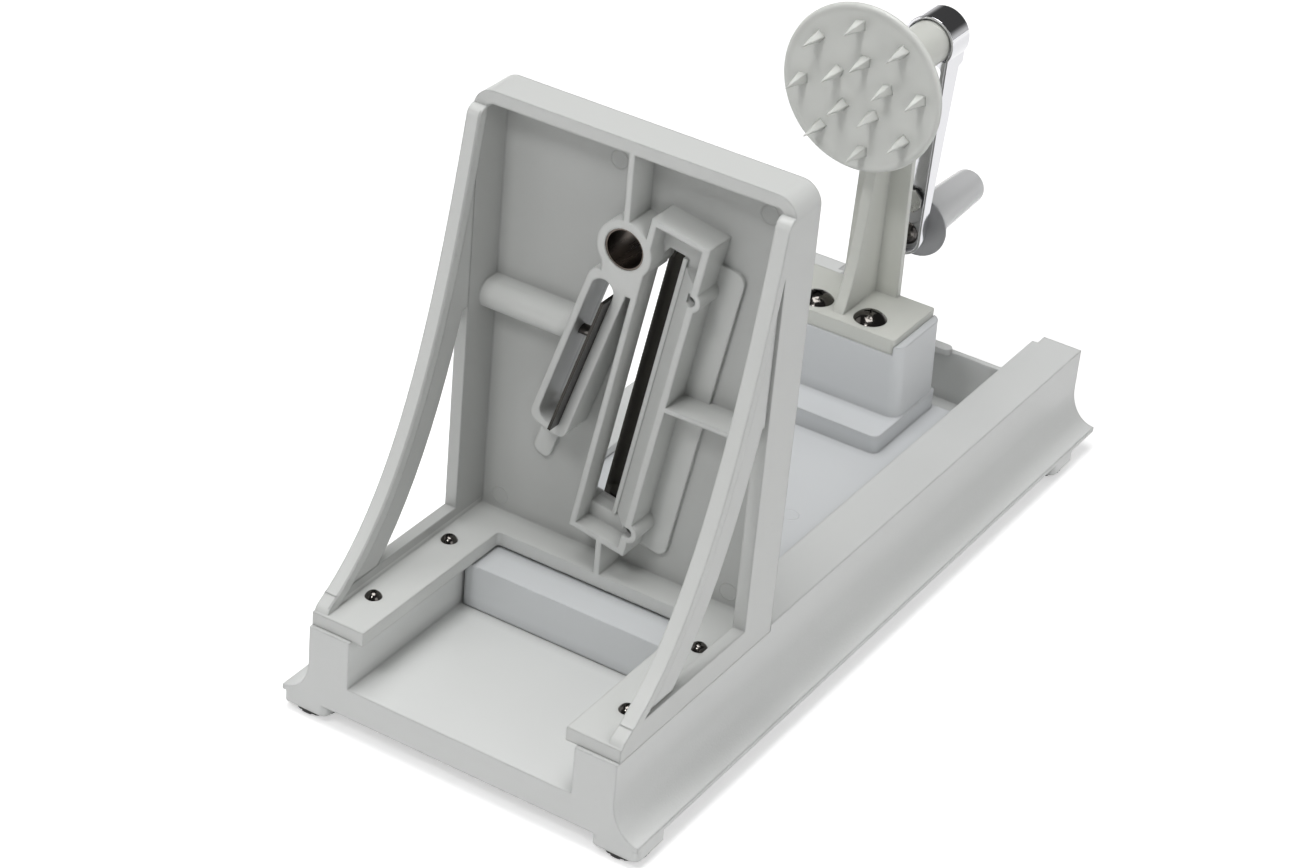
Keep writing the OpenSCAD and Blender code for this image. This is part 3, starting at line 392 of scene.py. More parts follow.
@dataclass(frozen=True)
class MouldedPlastic:
    """Injection-moulded plastic: a soft sheen, faint flow clouds, a fine grain in places, and painted
    shade in inner corners and some patches.
    """

    name: str
    colour: Colour
    roughness: float = 0.3
    cloud_scale: float = 18.0
    cloud_share: float = 0.5
    speck_scale: float = 900.0
    speck_share: float = 0.25
    cloud_tone: float = 0.965
    cloud_gloss: float = 0.06
    fine_gloss: float = 0.08
    grain_scale: float = 1300.0
    grain_depth: float = 0.08 * MM
    grain_gloss: float = 0.16
    smooth: float = 0.3
    sink_scale: float = 55.0
    sink_depth: float = 0.12 * MM
    mark_depth: float = 0.18 * MM
    rounding: float = 1.2 * MM
    corner: float = 5.0 * MM
    corner_painted_shade: float = 0.62
    index: float = 1.5
    patches: tuple[Patch, ...] = ()
    marks: tuple[Mark, ...] = ()

    def build(self) -> bpy.types.Material:
        """Builds the material.

        Returns:
            The material.
        """
        graph = Graph.material(self.name)
        cloud = graph.noise(self.cloud_scale, detail=3.0, roughness=0.55)
        speck = graph.noise(self.speck_scale, detail=2.0, roughness=0.6)
        flow = cloud * self.cloud_share + speck * self.speck_share
        tone = graph.blend(flow, shaded(self.colour, self.cloud_tone), self.colour)
        grainy: Union[Value, float] = self.smooth
        for patch in self.patches:
            mask = patch.mask(graph)
            grainy = grainy + mask * (1.0 - self.smooth)
            if patch.tone != 1.0:
                tone = graph.blend(mask, tone, shaded(self.colour, patch.tone))
        # Painted shade: the colour darkens in inner corners, by up to the corner tone.
        tone = graph.blend(graph.openness(self.corner), shaded(self.colour, self.corner_painted_shade), tone)
        fine = graph.noise(self.grain_scale, detail=2.0, roughness=0.65)
        sink = graph.noise(self.sink_scale, detail=1.0, roughness=0.4)
        normal = graph.bump(fine * grainy, self.grain_depth, graph.rounded(self.rounding))
        normal = graph.bump(sink, self.sink_depth, normal)
        for mark in self.marks:
            normal = graph.bump(mark.line(graph), self.mark_depth, normal)
        gloss = self.roughness + (cloud - 0.5) * self.cloud_gloss + (fine - 0.5) * self.fine_gloss
        if self.patches:
            gloss = gloss + (grainy - self.smooth) * self.grain_gloss
        return graph.finish(Base_Color=tone, Roughness=gloss, Normal=normal, IOR=self.index)


@dataclass(frozen=True)
class Metal:
    """Metal with fine lines from grinding, drawing or turning, faint smudges and, in dull patches,
    painted shade.
    """

    name: str
    colour: Colour
    roughness: float = 0.22
    lines: Point = (1.0, 1.0, 1.0)
    line_scale: float = 900.0
    line_depth: float = 0.006 * MM
    line_share: float = 0.6
    line_gloss: float = 0.6
    smudge_scale: float = 70.0
    smudge_gloss: float = 0.7
    stain: float = 0.12
    # Patches that are rougher and darkened by painted shade.
    dull: tuple[Patch, ...] = ()
    dull_gloss: float = 0.22

    def build(self) -> bpy.types.Material:
        """Builds the material.

        Returns:
            The material.
        """
        graph = Graph.material(self.name)
        streak = graph.noise(self.line_scale, detail=3.0, roughness=0.6, stretch=self.lines)
        smudge = graph.noise(self.smudge_scale, detail=4.0, roughness=0.6)
        marks = streak * self.line_share + smudge * (1.0 - self.line_share)
        tone = graph.blend(marks, shaded(self.colour, 1.0 - self.stain), self.colour)
        uneven = (smudge - 0.5) * self.smudge_gloss + (streak - 0.5) * self.line_gloss
        gloss = self.roughness + uneven * self.roughness
        # Painted shade: each dull patch darkens the colour by its tone and makes the surface rougher.
        for patch in self.dull:
            mask = patch.mask(graph)
            tone = graph.blend(mask, tone, shaded(self.colour, patch.tone))
            gloss = gloss + mask * self.dull_gloss
        normal = graph.bump(streak, self.line_depth)
        return graph.finish(Base_Color=tone, Roughness=gloss, Metallic=1.0, Normal=normal)


@dataclass(frozen=True)
class Rubber:
    """Moulded rubber: nearly black, dull, with a dusty bloom."""

    name: str
    colour: Colour = (0.012, 0.012, 0.012)
    bloom_colour: Colour = (0.035, 0.034, 0.033)
    bloom_scale: float = 240.0
    bloom_gloss: float = 0.3
    roughness: float = 0.55
    grain_scale: float = 1800.0
    grain_depth: float = 0.05 * MM

    def build(self) -> bpy.types.Material:
        """Builds the material.

        Returns:
            The material.
        """
        graph = Graph.material(self.name)
        bloom = graph.noise(self.bloom_scale, detail=5.0, roughness=0.7)
        tone = graph.blend(bloom, self.colour, self.bloom_colour)
        grain = graph.noise(self.grain_scale, detail=3.0, roughness=0.7)
        normal = graph.bump(grain, self.grain_depth)
        gloss = self.roughness + bloom * self.bloom_gloss
        return graph.finish(Base_Color=tone, Roughness=gloss, Normal=normal)


@dataclass(frozen=True)
class Edges:
    """How a piece's sharp edges are softened, with live modifiers on its own object.

    Both angles are in degrees: edges that bend by more than one are rounded, and faces that bend by
    less than the other are merged first.
    """

    radius: float
    steps: int = 3
    angle: float = 32.0
    dissolve: bool = True
    dissolve_angle: float = 0.6
    weld: float = 0.002 * MM
    face_weight: int = 100

    def soften(self, node: bpy.types.Object) -> None:
        """Welds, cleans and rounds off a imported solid.

        Args:
            node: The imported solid's object.
        """
        weld = node.modifiers.new("weld", "WELD")
        weld.merge_threshold = self.weld
        if self.dissolve:
            flat = node.modifiers.new("flat", "DECIMATE")
            flat.decimate_type = "DISSOLVE"
            flat.angle_limit = math.radians(self.dissolve_angle)
        self.round_off(node)

    def round_off(self, piece: bpy.types.Object) -> None:
        """Rounds a piece's sharp edges with a live modifier.

        Args:
            piece: The piece.
        """
        piece.data.shade_smooth()
        bevel = piece.modifiers.new("bevel", "BEVEL")
        bevel.width = self.radius
        bevel.segments = self.steps
        bevel.limit_method = "ANGLE"
        bevel.angle_limit = math.radians(self.angle)
        bevel.miter_outer = "MITER_ARC"
        bevel.use_clamp_overlap = True
        even = piece.modifiers.new("normals", "WEIGHTED_NORMAL")
        even.mode = "FACE_AREA"
        even.weight = self.face_weight
        even.keep_sharp = True


@dataclass(frozen=True)
class Viewpoint:
    """The photograph's camera. Its angles are in degrees."""

    azimuth: float = 29.63
    elevation: float = 31.71
    roll: float = 5.41
    target: Point = (-0.02497, -0.02093, 0.05836)
    distance: float = 1.27193
    lens: float = 93.67
    sensor: float = 36.0
    shift_x: float = 0.0008
    clip: tuple[float, float] = (0.01, 50.0)

    def build(self) -> None:
        """Makes the camera and sets it on the scene."""
        azimuth = math.radians(self.azimuth)
        elevation = math.radians(self.elevation)
        roll = math.radians(self.roll)
        level = Vector((math.sin(azimuth), -math.cos(azimuth), 0.0))
        back = level * math.cos(elevation) + Vector((0.0, 0.0, math.sin(elevation)))
        right = Vector((math.cos(azimuth), math.sin(azimuth), 0.0))
        up = back.cross(right)
        across = right * math.cos(roll) + up * math.sin(roll)
        upward = up * math.cos(roll) - right * math.sin(roll)
        data = bpy.data.cameras.new("camera")
        data.lens = self.lens
        data.sensor_width = self.sensor
        data.shift_x = self.shift_x
        data.clip_start, data.clip_end = self.clip
        camera = bpy.data.objects.new("camera", data)
        bpy.context.scene.collection.objects.link(camera)
        spot = Vector(self.target) + back * self.distance
        turned = Matrix((across, upward, back)).transposed().to_4x4()
        camera.matrix_world = Matrix.Translation(spot) @ turned
        bpy.context.scene.camera = camera


@dataclass(frozen=True)
class SoftBox:
    """One square lamp that points at the object."""

    name: str
    place: Point
    size: float
    power: float
    aim: Point = (0.0, 0.0, 0.06)

    def build(self) -> None:
        """Makes the lamp."""
        data = bpy.data.lights.new(self.name, "AREA")
        data.shape = "SQUARE"
        data.size = self.size
        data.energy = self.power
        lamp = bpy.data.objects.new(self.name, data)
        lamp.location = self.place
        lamp.rotation_euler = (Vector(self.place) - Vector(self.aim)).to_track_quat("Z", "Y").to_euler()
        bpy.context.scene.collection.objects.link(lamp)


@dataclass
class Studio:
    """A plain white floor, an even world and a few soft lamps.

    The floor_fade pair says at what distance the floor's glow is half way to full, and over what width.
    """

    floor_size: float = 12.0
    floor_colour: Colour = (0.8, 0.8, 0.8)
    floor_glow: float = 0.5
    floor_fade: tuple[float, float] = (1.1, 1.4)
    world_level: float = 0.29
    room_low: float = 0.75
    room_high: float = 0.08
    room_edge: float = 0.18
    room_blur: float = 0.3
    lamps: tuple[SoftBox, ...] = (
        SoftBox("lamp_top", (-0.1, -0.1, 1.7), 0.9, 15.5),
        SoftBox("lamp_key", (-0.05, -1.0, 1.25), 0.3, 4.8),
        SoftBox("lamp_left", (-1.6, -0.5, 0.9), 1.2, 2.5),
        SoftBox("lamp_right", (1.4, -0.5, 0.7), 1.0, 3.9),
    )
    view: Viewpoint = field(default_factory=Viewpoint)

    def _floor(self) -> None:
        """Lays the floor and gives it its finish."""
        graph = Graph.material("floor_white")
        direct = graph.ray("Is Camera Ray") + graph.ray("Is Transmission Ray")
        seen = (direct + graph.ray("Is Glossy Ray")).capped(1.0)
        diffuse = graph.node("ShaderNodeBsdfDiffuse", None, {"Color": self.floor_colour})
        away = graph.node("ShaderNodeVectorMath", {"operation": "LENGTH"}, {0: graph.place()}, "Value")
        level = self.floor_glow + away.above(*self.floor_fade) * (1.0 - self.floor_glow)
        glow = graph.node("ShaderNodeEmission", None, {"Strength": seen * level})
        both = graph.node("ShaderNodeAddShader", None, {0: diffuse, 1: glow})
        graph.output("ShaderNodeOutputMaterial", both)
        Bench.rest()
        bpy.ops.mesh.primitive_plane_add(size=self.floor_size, location=(0.0, 0.0, 0.0))
        floor = bpy.context.object
        floor.name = "floor"
        floor.data.materials.append(graph.owner)

    def _world(self) -> None:
        """Sets the world: white behind the object, even light on it and a dark room in its mirrors."""
        graph = Graph(bpy.data.worlds.new("studio"))
        bpy.context.scene.world = graph.owner
        shown = graph.ray("Is Camera Ray") + graph.ray("Is Transmission Ray")
        mirrored = graph.ray("Is Glossy Ray")
        rise = graph.node("ShaderNodeSeparateXYZ", None, {0: graph.node("ShaderNodeTexCoord")}, "Z")
        room = rise.below(self.room_edge, self.room_blur) * self.room_low + self.room_high
        strength = shown + mirrored * room + (1 - shown) * (1 - mirrored) * self.world_level
        sky = graph.node("ShaderNodeBackground", None, {"Strength": strength})
        graph.output("ShaderNodeOutputWorld", sky)

    def build(self) -> None:
        """Makes the floor, the world, the lamps and the camera."""
        self._floor()
        self._world()
        for lamp in self.lamps:
            lamp.build()
        self.view.build()
        bpy.context.scene.view_settings.view_transform = "Standard"


class Bench:
    """Work with bpy.ops on one new mesh at a time."""

    @staticmethod
    def rest() -> None:
        """Leaves edit mode and deselects everything."""
        if bpy.context.mode != "OBJECT":
            bpy.ops.object.mode_set(mode="OBJECT")
        bpy.ops.object.select_all(action="DESELECT")

    @staticmethod
    def take(piece: bpy.types.Object) -> None:
        """Makes a piece the only selected and the active one.

        Args:
            piece: The piece.
        """
        Bench.rest()
        bpy.context.view_layer.objects.active = piece
        piece.select_set(True)

    @staticmethod
    def edit(piece: bpy.types.Object, mode: str) -> None:
        """Opens a piece for editing with nothing selected.

        Args:
            piece: The piece.
            mode: What is picked, "EDGE" or "FACE".
        """
        Bench.take(piece)
        bpy.ops.object.mode_set(mode="EDIT")
        bpy.ops.mesh.select_mode(type=mode)
        bpy.ops.mesh.select_all(action="DESELECT")

    @staticmethod
    def pick(piece: bpy.types.Object, wanted: Callable[[bpy.types.MeshPolygon], bool]) -> None:
        """Opens a piece for editing with some of its faces selected.

        Args:
            piece: The piece.
            wanted: Says for a face whether it is to be selected.
        """
        Bench.edit(piece, "FACE")
        bpy.ops.object.mode_set(mode="OBJECT")
        for polygon in piece.data.polygons:
            polygon.select = wanted(polygon)
        bpy.ops.object.mode_set(mode="EDIT")

    @staticmethod
    def settle(piece: bpy.types.Object, placing: Matrix) -> bpy.types.Object:
        """Moves a piece into place and leaves the place in its mesh.

        Args:
            piece: The piece.
            placing: How it is turned and moved.

        Returns:
            The piece.
        """
        Bench.take(piece)
        piece.matrix_world = placing @ piece.matrix_world
        bpy.ops.object.transform_apply(location=True, rotation=True, scale=True)
        return piece

    @staticmethod
    def copy(piece: bpy.types.Object, name: str) -> bpy.types.Object:
        """Copies a piece together with its mesh.

        Args:
            piece: The piece.
            name: The copy's name.

        Returns:
            The copy.
        """
        Bench.take(piece)
        bpy.ops.object.duplicate(linked=False)
        made = bpy.context.object
        made.name = name
        made.data.name = name
        return made

    @staticmethod
    def turned(
        name: str, profile: Iterable[Ring], facets: int, hollow: bool = False
    ) -> bpy.types.Object:
        """Turns a solid about the Z axis, ring by ring.

        Args:
            name: The piece's name.
            profile: The rings; a hollow solid's last ring is its first.
            facets: How many sides a ring has.
            hollow: Whether the rings close on themselves, which leaves a bore.

        Returns:
            The solid.
        """
        (radius, height), *rings = profile
        Bench.rest()
        fill = "NOTHING" if hollow else "NGON"
        bpy.ops.mesh.primitive_circle_add(
            vertices=facets, radius=radius, fill_type=fill, location=(0.0, 0.0, height)
        )
        piece = Bench.settle(bpy.context.object, Matrix())
        piece.name = name
        Bench.edit(piece, "EDGE" if hollow else "FACE")
        bpy.ops.mesh.select_all(action="SELECT")
        for next_radius, next_height in rings:
            rise = (0.0, 0.0, next_height - height)
            bpy.ops.mesh.extrude_region_move(TRANSFORM_OT_translate={"value": rise})
            factor = next_radius / radius
            middle = (0.0, 0.0, next_height)
            bpy.ops.transform.resize(value=(factor, factor, 1.0), center_override=middle)
            radius, height = next_radius, next_height
        bpy.ops.mesh.select_all(action="SELECT")
        if hollow:
            bpy.ops.mesh.remove_doubles(threshold=TOUCHING)
        bpy.ops.mesh.normals_make_consistent(inside=False)
        Bench.rest()
        return piece

    @staticmethod
    def wedge(size: Point, place: Point, foot: float) -> bpy.types.Object:
        """Makes a block that narrows downwards.

        Args:
            size: Its size along X, Y and Z.
            place: Its middle.
            foot: Its width at the bottom as a share of the width at the top.

        Returns:
            The block.
        """
        Bench.rest()
        bpy.ops.mesh.primitive_cube_add(size=1.0, location=place, scale=size)
        block = Bench.settle(bpy.context.object, Matrix())
        Bench.pick(block, lambda face: face.normal.z < -0.5)
        bpy.ops.transform.resize(value=(foot, foot, 1.0), center_override=place)
        Bench.rest()
        return block

    @staticmethod
    def cut(piece: bpy.types.Object, cutter: bpy.types.Object) -> None:
        """Takes a cutter's shape out of a piece and removes the cutter.

        Args:
            piece: The piece.
            cutter: The solid that is taken out of it.
        """
        Bench.take(piece)
        modifier = piece.modifiers.new("cut", "BOOLEAN")
        modifier.operation = "DIFFERENCE"
        modifier.object = cutter
        bpy.ops.object.modifier_apply(modifier=modifier.name)
        Bench.take(cutter)
        bpy.ops.object.delete()


@dataclass
class Assembly:
    """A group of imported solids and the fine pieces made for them."""

    body: Body = Body.FRAME

    def dress(self, node: str, finish: bpy.types.Material, edges: Optional[Edges] = None) -> None:
        """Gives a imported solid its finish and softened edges.

        Args:
            node: The solid's name.
            finish: Its material.
            edges: How its edges are softened, or None.
        """
        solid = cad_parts[node]
        solid.data.materials.clear()
        solid.data.materials.append(finish)
        for polygon in solid.data.polygons:
            polygon.material_index = 0
        if edges is not None:
            edges.soften(solid)
        LOG.info("dressed %s", node)

    def fit(
        self,
        piece: bpy.types.Object,
        finish: bpy.types.Material,
        replaced: str,
        edges: Optional[Edges] = None,
    ) -> None:
        """Gives a new piece its finish and its body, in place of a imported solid.

        Args:
            piece: The new piece, in place.
            finish: Its material.
            replaced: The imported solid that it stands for, alone or with others.
            edges: How its edges are softened, or None.
        """
        piece.data.materials.clear()
        piece.data.materials.append(finish)
        if edges is None:
            Bench.take(piece)
            bpy.ops.object.shade_smooth_by_angle(angle=SMOOTH_ANGLE)
        else:
            edges.round_off(piece)
        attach(piece, self.body.value)
        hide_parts(replaced)


class Finishes:
    """All the finishes, each made once."""

    def __init__(self) -> None:
        """Builds every material."""
        # The plate's patch: fine spark-eroded grain, and a tone of 0.84 that is partly the grain's
        # darker look and partly painted shade inside the rim.
        plate = Patch((-0.0592, -0.0822, 0.044), (0.0592, -0.0808, 0.2095), 0.84)
        # Painted shade: the left gusset's inner face is darkened to 0.68 of the colour, and its grain
        # is coarser.
        gusset_painted_shade = Patch((-0.0594, -0.176, 0.047), (-0.0585, -0.081, 0.211), 0.68)
        cove = Patch((0.0638, -0.18, 0.0085), (0.0752, 0.17, 0.0235))
        # Painted shade: the crank arm's web is darkened to 0.62 of the chrome's colour, and made
        # rougher.
        web_painted_shade = Patch((-0.0062, 0.1224, 0.084), (0.0062, 0.1262, 0.168), 0.62)
        pins = ((-0.0125, 0.2019), (0.0468, 0.2019), (-0.0513, 0.0506), (0.0468, 0.0506))
        on_plate = tuple(Mark((x, -0.08155, z)) for x, z in pins)
        on_tray = (Mark((0.0304, -0.00785, 0.03855)),)
        stand = (0.655, 0.665, 0.65)
        self.base = MouldedPlastic("base_plastic", (0.72, 0.73, 0.72), patches=(cove,)).build()
        self.stand = MouldedPlastic(
            "stand_plastic", stand, patches=(plate, gusset_painted_shade), marks=on_plate
        ).build()
        self.tray = MouldedPlastic("tray_plastic", (0.712, 0.729, 0.742), marks=on_tray).build()
        self.crank_stand = MouldedPlastic("crank_stand_plastic", (0.69, 0.70, 0.655)).build()
        self.disc = MouldedPlastic("disc_plastic", (0.73, 0.74, 0.71)).build()
        self.grip = MouldedPlastic("grip_plastic", (0.66, 0.665, 0.67), roughness=0.16).build()
        self.guard = MouldedPlastic("guard_plastic", (0.56, 0.565, 0.58)).build()
        self.bush = MouldedPlastic("bush_plastic", (0.80, 0.80, 0.77), roughness=0.5).build()
        self.knob = MouldedPlastic("knob_plastic", stand).build()
        self.blade = Metal("blade_steel", (0.105, 0.099, 0.09), 0.2, lines=(1.0, 1.0, 0.03)).build()
        self.comb = Metal("comb_steel", (0.05, 0.047, 0.043), 0.2, lines=(1.0, 1.0, 0.03)).build()
        self.tube = Metal("tube_steel", (0.14, 0.12, 0.105), 0.3, lines=(1.0, 0.03, 1.0)).build()
        self.shaft = Metal("shaft_steel", (0.55, 0.55, 0.55), 0.22, lines=(0.1, 1.0, 0.1)).build()
        self.screw = Metal("screw_steel", (0.16, 0.15, 0.14), 0.14, stain=0.25).build()
        self.chrome = Metal("arm_chrome", (0.70, 0.70, 0.72), 0.07, stain=0.05, dull=(web_painted_shade,)).build()
        self.nut = Metal("nut_steel", (0.60, 0.60, 0.58), 0.25).build()
        self.brass = Metal("insert_brass", (0.10, 0.08, 0.05), 0.2, lines=(1.0, 0.1, 0.1)).build()
        self.rubber = Rubber("foot_rubber").build()


@dataclass(frozen=True)
class DomedScrew:
    """A domed head with a cross recess, seated at height 0, on a plain shank.

    The seat, shoulder, crown, reach and wing are shares of the head's radius, recess_floor is a share
    of its height, and recess_foot is the recess's width at its floor as a share of its width above.
    """

    head_radius: float
    head_height: float
    shank_radius: float
    length: float
    turn: float = 20.0
    chamfer: float = 0.3 * MM
    seat: float = 0.97
    shoulder: float = 0.99
    crown: float = 0.02
    dome_steps: int = 8
    reach: float = 1.05
    wing: float = 0.17
    recess_floor: float = 0.4
    recess_foot: float = 0.55

    def _profile(self) -> list[Ring]:
        """Lays the rings from the shank's end to the top of the head.

        Returns:
            The rings.
        """
        ball = (self.head_radius**2 + self.head_height**2) / (2 * self.head_height)
        rings = [
            (self.shank_radius - self.chamfer, -self.length),
            (self.shank_radius, self.chamfer - self.length),
            (self.shank_radius, 0.0),
            (self.head_radius * self.seat, 0.0),
        ]
        for step in range(self.dome_steps + 1):
            inwards = (self.shoulder - self.crown) * step / self.dome_steps
            radius = self.head_radius * (self.shoulder - inwards)
            rings.append((radius, self.head_height - ball + math.sqrt(ball**2 - radius**2)))
        return rings

    def build(self, name: str) -> bpy.types.Object:
        """Makes the screw.

        Args:
            name: The piece's name.

        Returns:
            The screw, upright at the origin.
        """
        screw = Bench.turned(name, self._profile(), facets=48)
        depth = self.head_height
        reach = self.head_radius * self.reach
        wing = self.head_radius * self.wing
        middle = (0.0, 0.0, self.head_height * self.recess_floor + depth / 2)
        for size in ((reach, wing, depth), (wing, reach, depth)):
            Bench.cut(screw, Bench.wedge(size, middle, self.recess_foot))
        return Bench.settle(screw, Matrix.Rotation(math.radians(self.turn), 4, "Z"))


@dataclass
class BaseAssembly(Assembly):
    """The base moulding and its feet."""

    body: Body = Body.FRAME

    def build(self, finishes: Finishes) -> None:
        """Dresses the base and the feet."""
        self.dress("base", finishes.base, Edges(0.6 * MM))
        self.dress("rubber_feet", finishes.rubber, Edges(0.3 * MM, 2))


@dataclass
class StandAssembly(Assembly):
    """The blade stand with what it carries."""

    body: Body = Body.FRAME
    screw: DomedScrew = DomedScrew(3.2 * MM, 2.2 * MM, 1.5 * MM, 19.5 * MM)
    screw_x: float = 53.15 * MM
    screw_ys: tuple[float, float] = (-110.65 * MM, -156.55 * MM)
    screw_seat: float = 45.23 * MM
    screw_turn: float = 37.0

    def _screws(self, finishes: Finishes) -> None:
        """Makes the four screws through the flanges, each turned another way.

        Args:
            finishes: Every finish.
        """
        first = self.screw.build("stand_screw_1")
        places = [(side * self.screw_x, y) for side in (1, -1) for y in self.screw_ys]
        for number, (x, y) in enumerate(places, 1):
            last = number == len(places)
            screw = first if last else Bench.copy(first, "stand_screw_%d" % (number + 1))
            turning = Matrix.Rotation(math.radians(self.screw_turn * number), 4, "Z")
            Bench.settle(screw, Matrix.Translation((x, y, self.screw_seat)) @ turning)
            self.fit(screw, finishes.screw, "stand_screws")

    def build(self, finishes: Finishes) -> None:
        """Dresses the stand, the tube, the blades and the clamp.

        Args:
            finishes: Every finish.
        """
        self.dress("blade_stand", finishes.stand, Edges(0.5 * MM))
        self._screws(finishes)
        self.dress("coring_tube", finishes.tube)
        self.dress("main_blade", finishes.blade)
        self.dress("blade_screws", finishes.screw, Edges(0.12 * MM, 2))
        self.dress("clamp_insert", finishes.brass, Edges(0.15 * MM, 2))
        self.dress("comb_blade", finishes.comb)
        self.dress("clamp_screw", finishes.screw)
        self.dress("clamp_knob", finishes.knob, Edges(0.4 * MM))


@dataclass
class CarriageAssembly(Assembly):
    """The tray and the crank stand."""

    body: Body = Body.CARRIAGE
    screw: DomedScrew = DomedScrew(6.75 * MM, 3.4 * MM, 2.5 * MM, 15.4 * MM)
    screw_place: Point = (11.9 * MM, 77.25 * MM, 78.88 * MM)
    screw_turns: tuple[float, float] = (0.0, 50.0)

    def _screws(self, finishes: Finishes) -> None:
        """Makes the two large screws through the foot plate.

        Args:
            finishes: Every finish.
        """
        x, y, seat = self.screw_place
        right = self.screw.build("crank_stand_screw_right")
        left = Bench.copy(right, "crank_stand_screw_left")
        for screw, side, turn in zip((right, left), (1, -1), self.screw_turns):
            turning = Matrix.Rotation(math.radians(turn), 4, "Z")
            Bench.settle(screw, Matrix.Translation((side * x, y, seat)) @ turning)
            self.fit(screw, finishes.screw, "crank_stand_screws")

    def build(self, finishes: Finishes) -> None:
        """Dresses the tray, the crank stand and their fasteners.

        Args:
            finishes: Every finish.
        """
        self.dress("tray", finishes.tray, Edges(0.6 * MM))
        self.dress("crank_stand", finishes.crank_stand, Edges(0.5 * MM, dissolve=False))
        self._screws(finishes)
        self.dress("crank_stand_nuts", finishes.nut, Edges(0.2 * MM, 2))
        self.dress("shaft_bushes", finishes.bush, Edges(0.2 * MM, 2))


@dataclass
class CrankAssembly(Assembly):
    """The shaft, the spiked disc and the arm.

    The profiles are in millimetres. Those of the disc run from its front face backwards, the fillet's
    radii count from the hub, and a spike's profile runs from inside the disc to its point.
    """

    body: Body = Body.CRANK
    axis_z: float = 177.4 * MM
    disc_front: float = 67.95 * MM
    disc_radius: float = 33.6 * MM
    disc_face: tuple[Ring, ...] = ((0.1, 0.45), (30.2, 0.45), (31.0, 0.3), (31.7, 0.06))
    disc_rim: float = 1.2 * MM
    disc_back: Ring = (26.88, 3.7)
    hub_fillet: tuple[Ring, ...] = ((3.0, 5.0), (0.9, 5.25), (0.25, 5.6), (0.0, 6.2))
    hub_radius: float = 8.0 * MM
    hub_back: float = 12.5 * MM
    hub_middle: float = 0.1 * MM
    pin_hole: float = 1.23 * MM
    pin_y: float = 77.1 * MM
    bore_radius: float = 4.03 * MM
    bore_ends: tuple[float, float] = (3.0 * MM, 20.0 * MM)
    spike_profile: tuple[Ring, ...] = (
        (2.907, -0.5), (2.856, -0.4), (2.55, -0.15), (2.3715, 0.8), (1.2495, 6.604), (0.14, 12.6),
        (0.05, 12.7),
    )
    spike_rings: tuple[tuple[int, float, float], ...] = ((8, 25.2 * MM, 8.0), (5, 11.29 * MM, 16.0))
    spike_edges: Edges = Edges(0.12 * MM, 2, 25.0)

    def _disc(self) -> bpy.types.Object:
        """Makes the disc: a shallow face inside a rounded rim, with a cone and a hub behind it.

        Returns:
            The disc, in place, without its spikes.
        """
        rings = in_metres(self.disc_face)
        rings += arc((self.disc_radius - self.disc_rim, self.disc_rim), self.disc_rim, -90.0, 90.0)
        rings += in_metres([self.disc_back])
        rings += [(self.hub_radius + radius, height) for radius, height in in_metres(self.hub_fillet)]
        rings += [(self.hub_radius, self.hub_back), (self.hub_middle, self.hub_back)]
        disc = Bench.turned("disc_plate", rings, facets=128)
        bore = [(self.bore_radius, end) for end in self.bore_ends]
        Bench.cut(disc, Bench.turned("bore", bore, facets=48))
        Bench.settle(disc, Matrix.Translation((0.0, self.disc_front, self.axis_z)) @ AXIS_BACK)
        reach = self.hub_radius + MM
        across = [(self.pin_hole, self.axis_z - reach), (self.pin_hole, self.axis_z + reach)]
        hole = Bench.turned("hole", across, facets=24)
        Bench.cut(disc, Bench.settle(hole, Matrix.Translation((0.0, self.pin_y, 0.0))))
        return disc

    def _spikes(self, finishes: Finishes) -> None:
        """Makes the square spikes, each with a small fillet at its foot.

        Args:
            finishes: Every finish.
        """
        first = Bench.turned("spike", in_metres(self.spike_profile), facets=4)
        for count, ring, phase in self.spike_rings:
            for number in range(count):
                angle = math.radians(phase + 360.0 * number / count)
                spike = Bench.copy(first, "spike_%d_%d" % (count, number + 1))
                foot = (ring * math.cos(angle), self.disc_front, self.axis_z + ring * math.sin(angle))
                # A ring of four starts at a corner, so half a side's turn sets a flat side outwards.
                turning = Matrix.Rotation(angle + math.radians(45.0), 4, "Z")
                Bench.settle(spike, Matrix.Translation(foot) @ AXIS_FORWARD @ turning)
                self.fit(spike, finishes.disc, "spiked_disc", self.spike_edges)
        Bench.take(first)
        bpy.ops.object.delete()

    def build(self, finishes: Finishes) -> None:
        """Dresses everything that turns with the shaft.

        Args:
            finishes: Every finish.
        """
        self.dress("crank_shaft", finishes.shaft)
        self.fit(self._disc(), finishes.disc, "spiked_disc")
        self._spikes(finishes)
        self.dress("disc_pin", finishes.shaft)
        self.dress("thrust_washer", finishes.nut, Edges(0.1 * MM, 2))
        self.dress("crank_arm", finishes.chrome, Edges(0.4 * MM))
        self.dress("crank_screw", finishes.screw, Edges(0.15 * MM, 2))
        self.dress("handle_pin", finishes.shaft, Edges(0.2 * MM, 2))
        self.dress("handle_clip", finishes.nut, Edges(0.3 * MM, 2))
        self.dress("handle_screw", finishes.screw, Edges(0.15 * MM, 2))


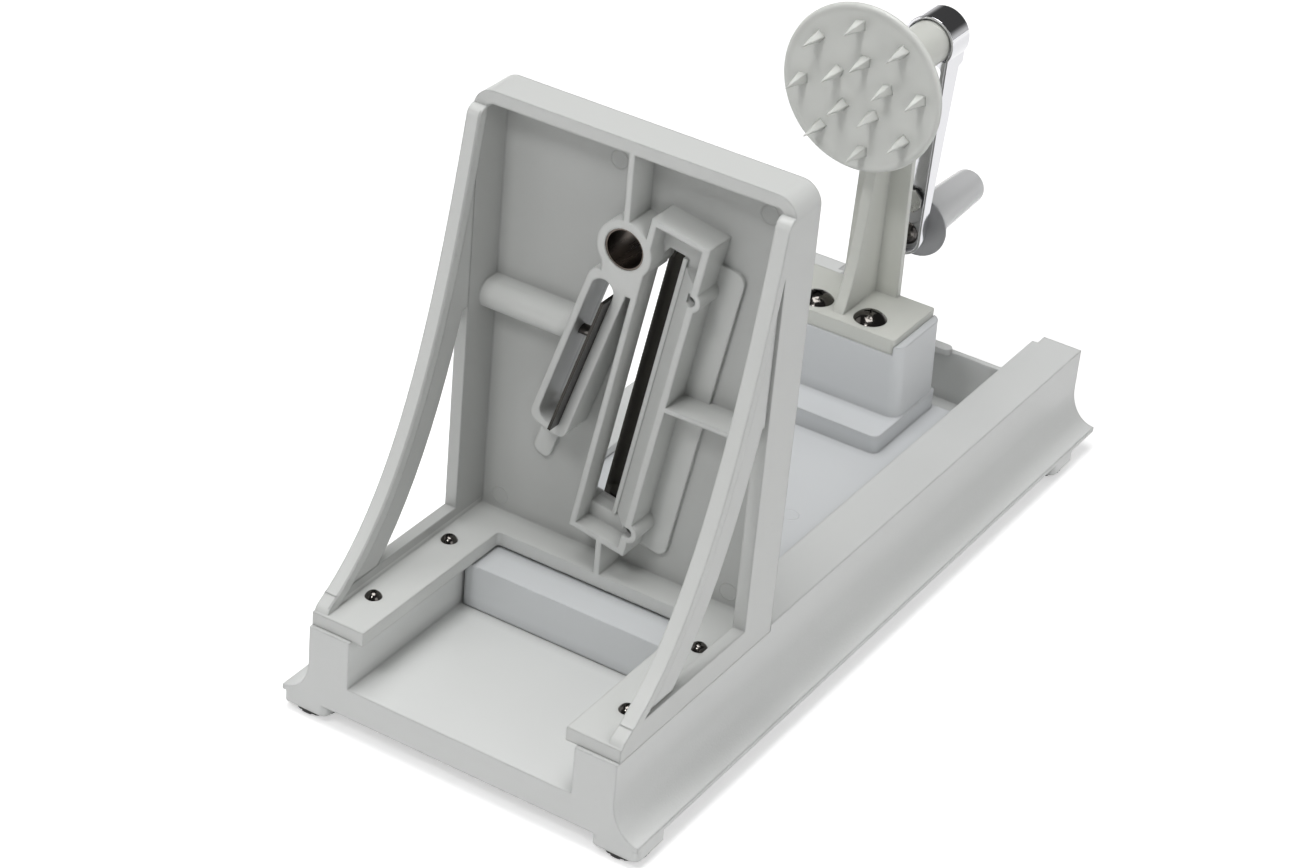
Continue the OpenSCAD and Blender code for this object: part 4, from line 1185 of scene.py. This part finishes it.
@dataclass
class HandleAssembly(Assembly):
    """The grip and its guard. The guard's profile is in millimetres."""

    body: Body = Body.HANDLE
    pin_z: float = 92.8 * MM
    bore: float = 3.05 * MM
    grip_y: float = 136.35 * MM
    grip_length: float = 42.4 * MM
    grip_radius: float = 8.8 * MM
    chamfer: float = 0.3 * MM
    taper_rings: tuple[float, ...] = (0.25, 0.5, 0.75)
    end_radius: float = 7.4 * MM
    end_round: float = 2.0 * MM
    recess_radius: float = 5.3 * MM
    recess_depth: float = 6.0 * MM
    guard_y: float = 133.95 * MM
    guard_profile: tuple[Ring, ...] = (
        (3.05, 1.2), (5.2, 1.25), (7.0, 1.12), (8.8, 0.8), (10.4, 0.28), (11.8, -0.38), (12.7, -0.88),
        (13.0, -0.98), (13.22, -0.88), (13.3, -0.62), (13.2, -0.3), (12.5, 0.45), (11.4, 1.45),
        (10.4, 2.35), (9.8, 2.95), (9.5, 3.15), (9.22, 3.0), (9.2, 2.37), (3.05, 2.37), (3.05, 1.2),
    )

    def _grip(self) -> bpy.types.Object:
        """Makes the grip: a slim taper with a rounded end and a recess for the pin's head.

        Returns:
            The grip, upright at the origin.
        """
        rings = [
            (self.bore, 0.0),
            (self.grip_radius - self.chamfer, 0.0),
            (self.grip_radius, self.chamfer),
        ]
        shoulder = self.grip_length - self.end_round
        for share in self.taper_rings:
            radius = self.grip_radius + (self.end_radius - self.grip_radius) * share
            rings.append((radius, shoulder * share))
        rings += arc((self.end_radius - self.end_round, shoulder), self.end_round, 0.0, 90.0)
        floor = self.grip_length - self.recess_depth
        rings += [
            (self.recess_radius, self.grip_length),
            (self.recess_radius, floor),
            (self.bore, floor),
            (self.bore, 0.0),
        ]
        return Bench.turned("grip_sleeve", rings, facets=96, hollow=True)

    def build(self, finishes: Finishes) -> None:
        """Makes the grip and the guard.

        Args:
            finishes: Every finish.
        """
        grip = self._grip()
        Bench.settle(grip, Matrix.Translation((0.0, self.grip_y, self.pin_z)) @ AXIS_BACK)
        self.fit(grip, finishes.grip, "grip")
        guard = Bench.turned("guard_saucer", in_metres(self.guard_profile), facets=96, hollow=True)
        Bench.settle(guard, Matrix.Translation((0.0, self.guard_y, self.pin_z)) @ AXIS_BACK)
        self.fit(guard, finishes.guard, "grip_guard")


def main() -> None:
    """Builds the studio and every assembly."""
    logging.basicConfig(level=logging.INFO, format="%(name)s: %(message)s")
    Studio().build()
    finishes = Finishes()
    for kind in (BaseAssembly, StandAssembly, CarriageAssembly, CrankAssembly, HandleAssembly):
        kind().build(finishes)
        LOG.info("built %s", kind.__name__)


if __name__ == "__main__":
    main()
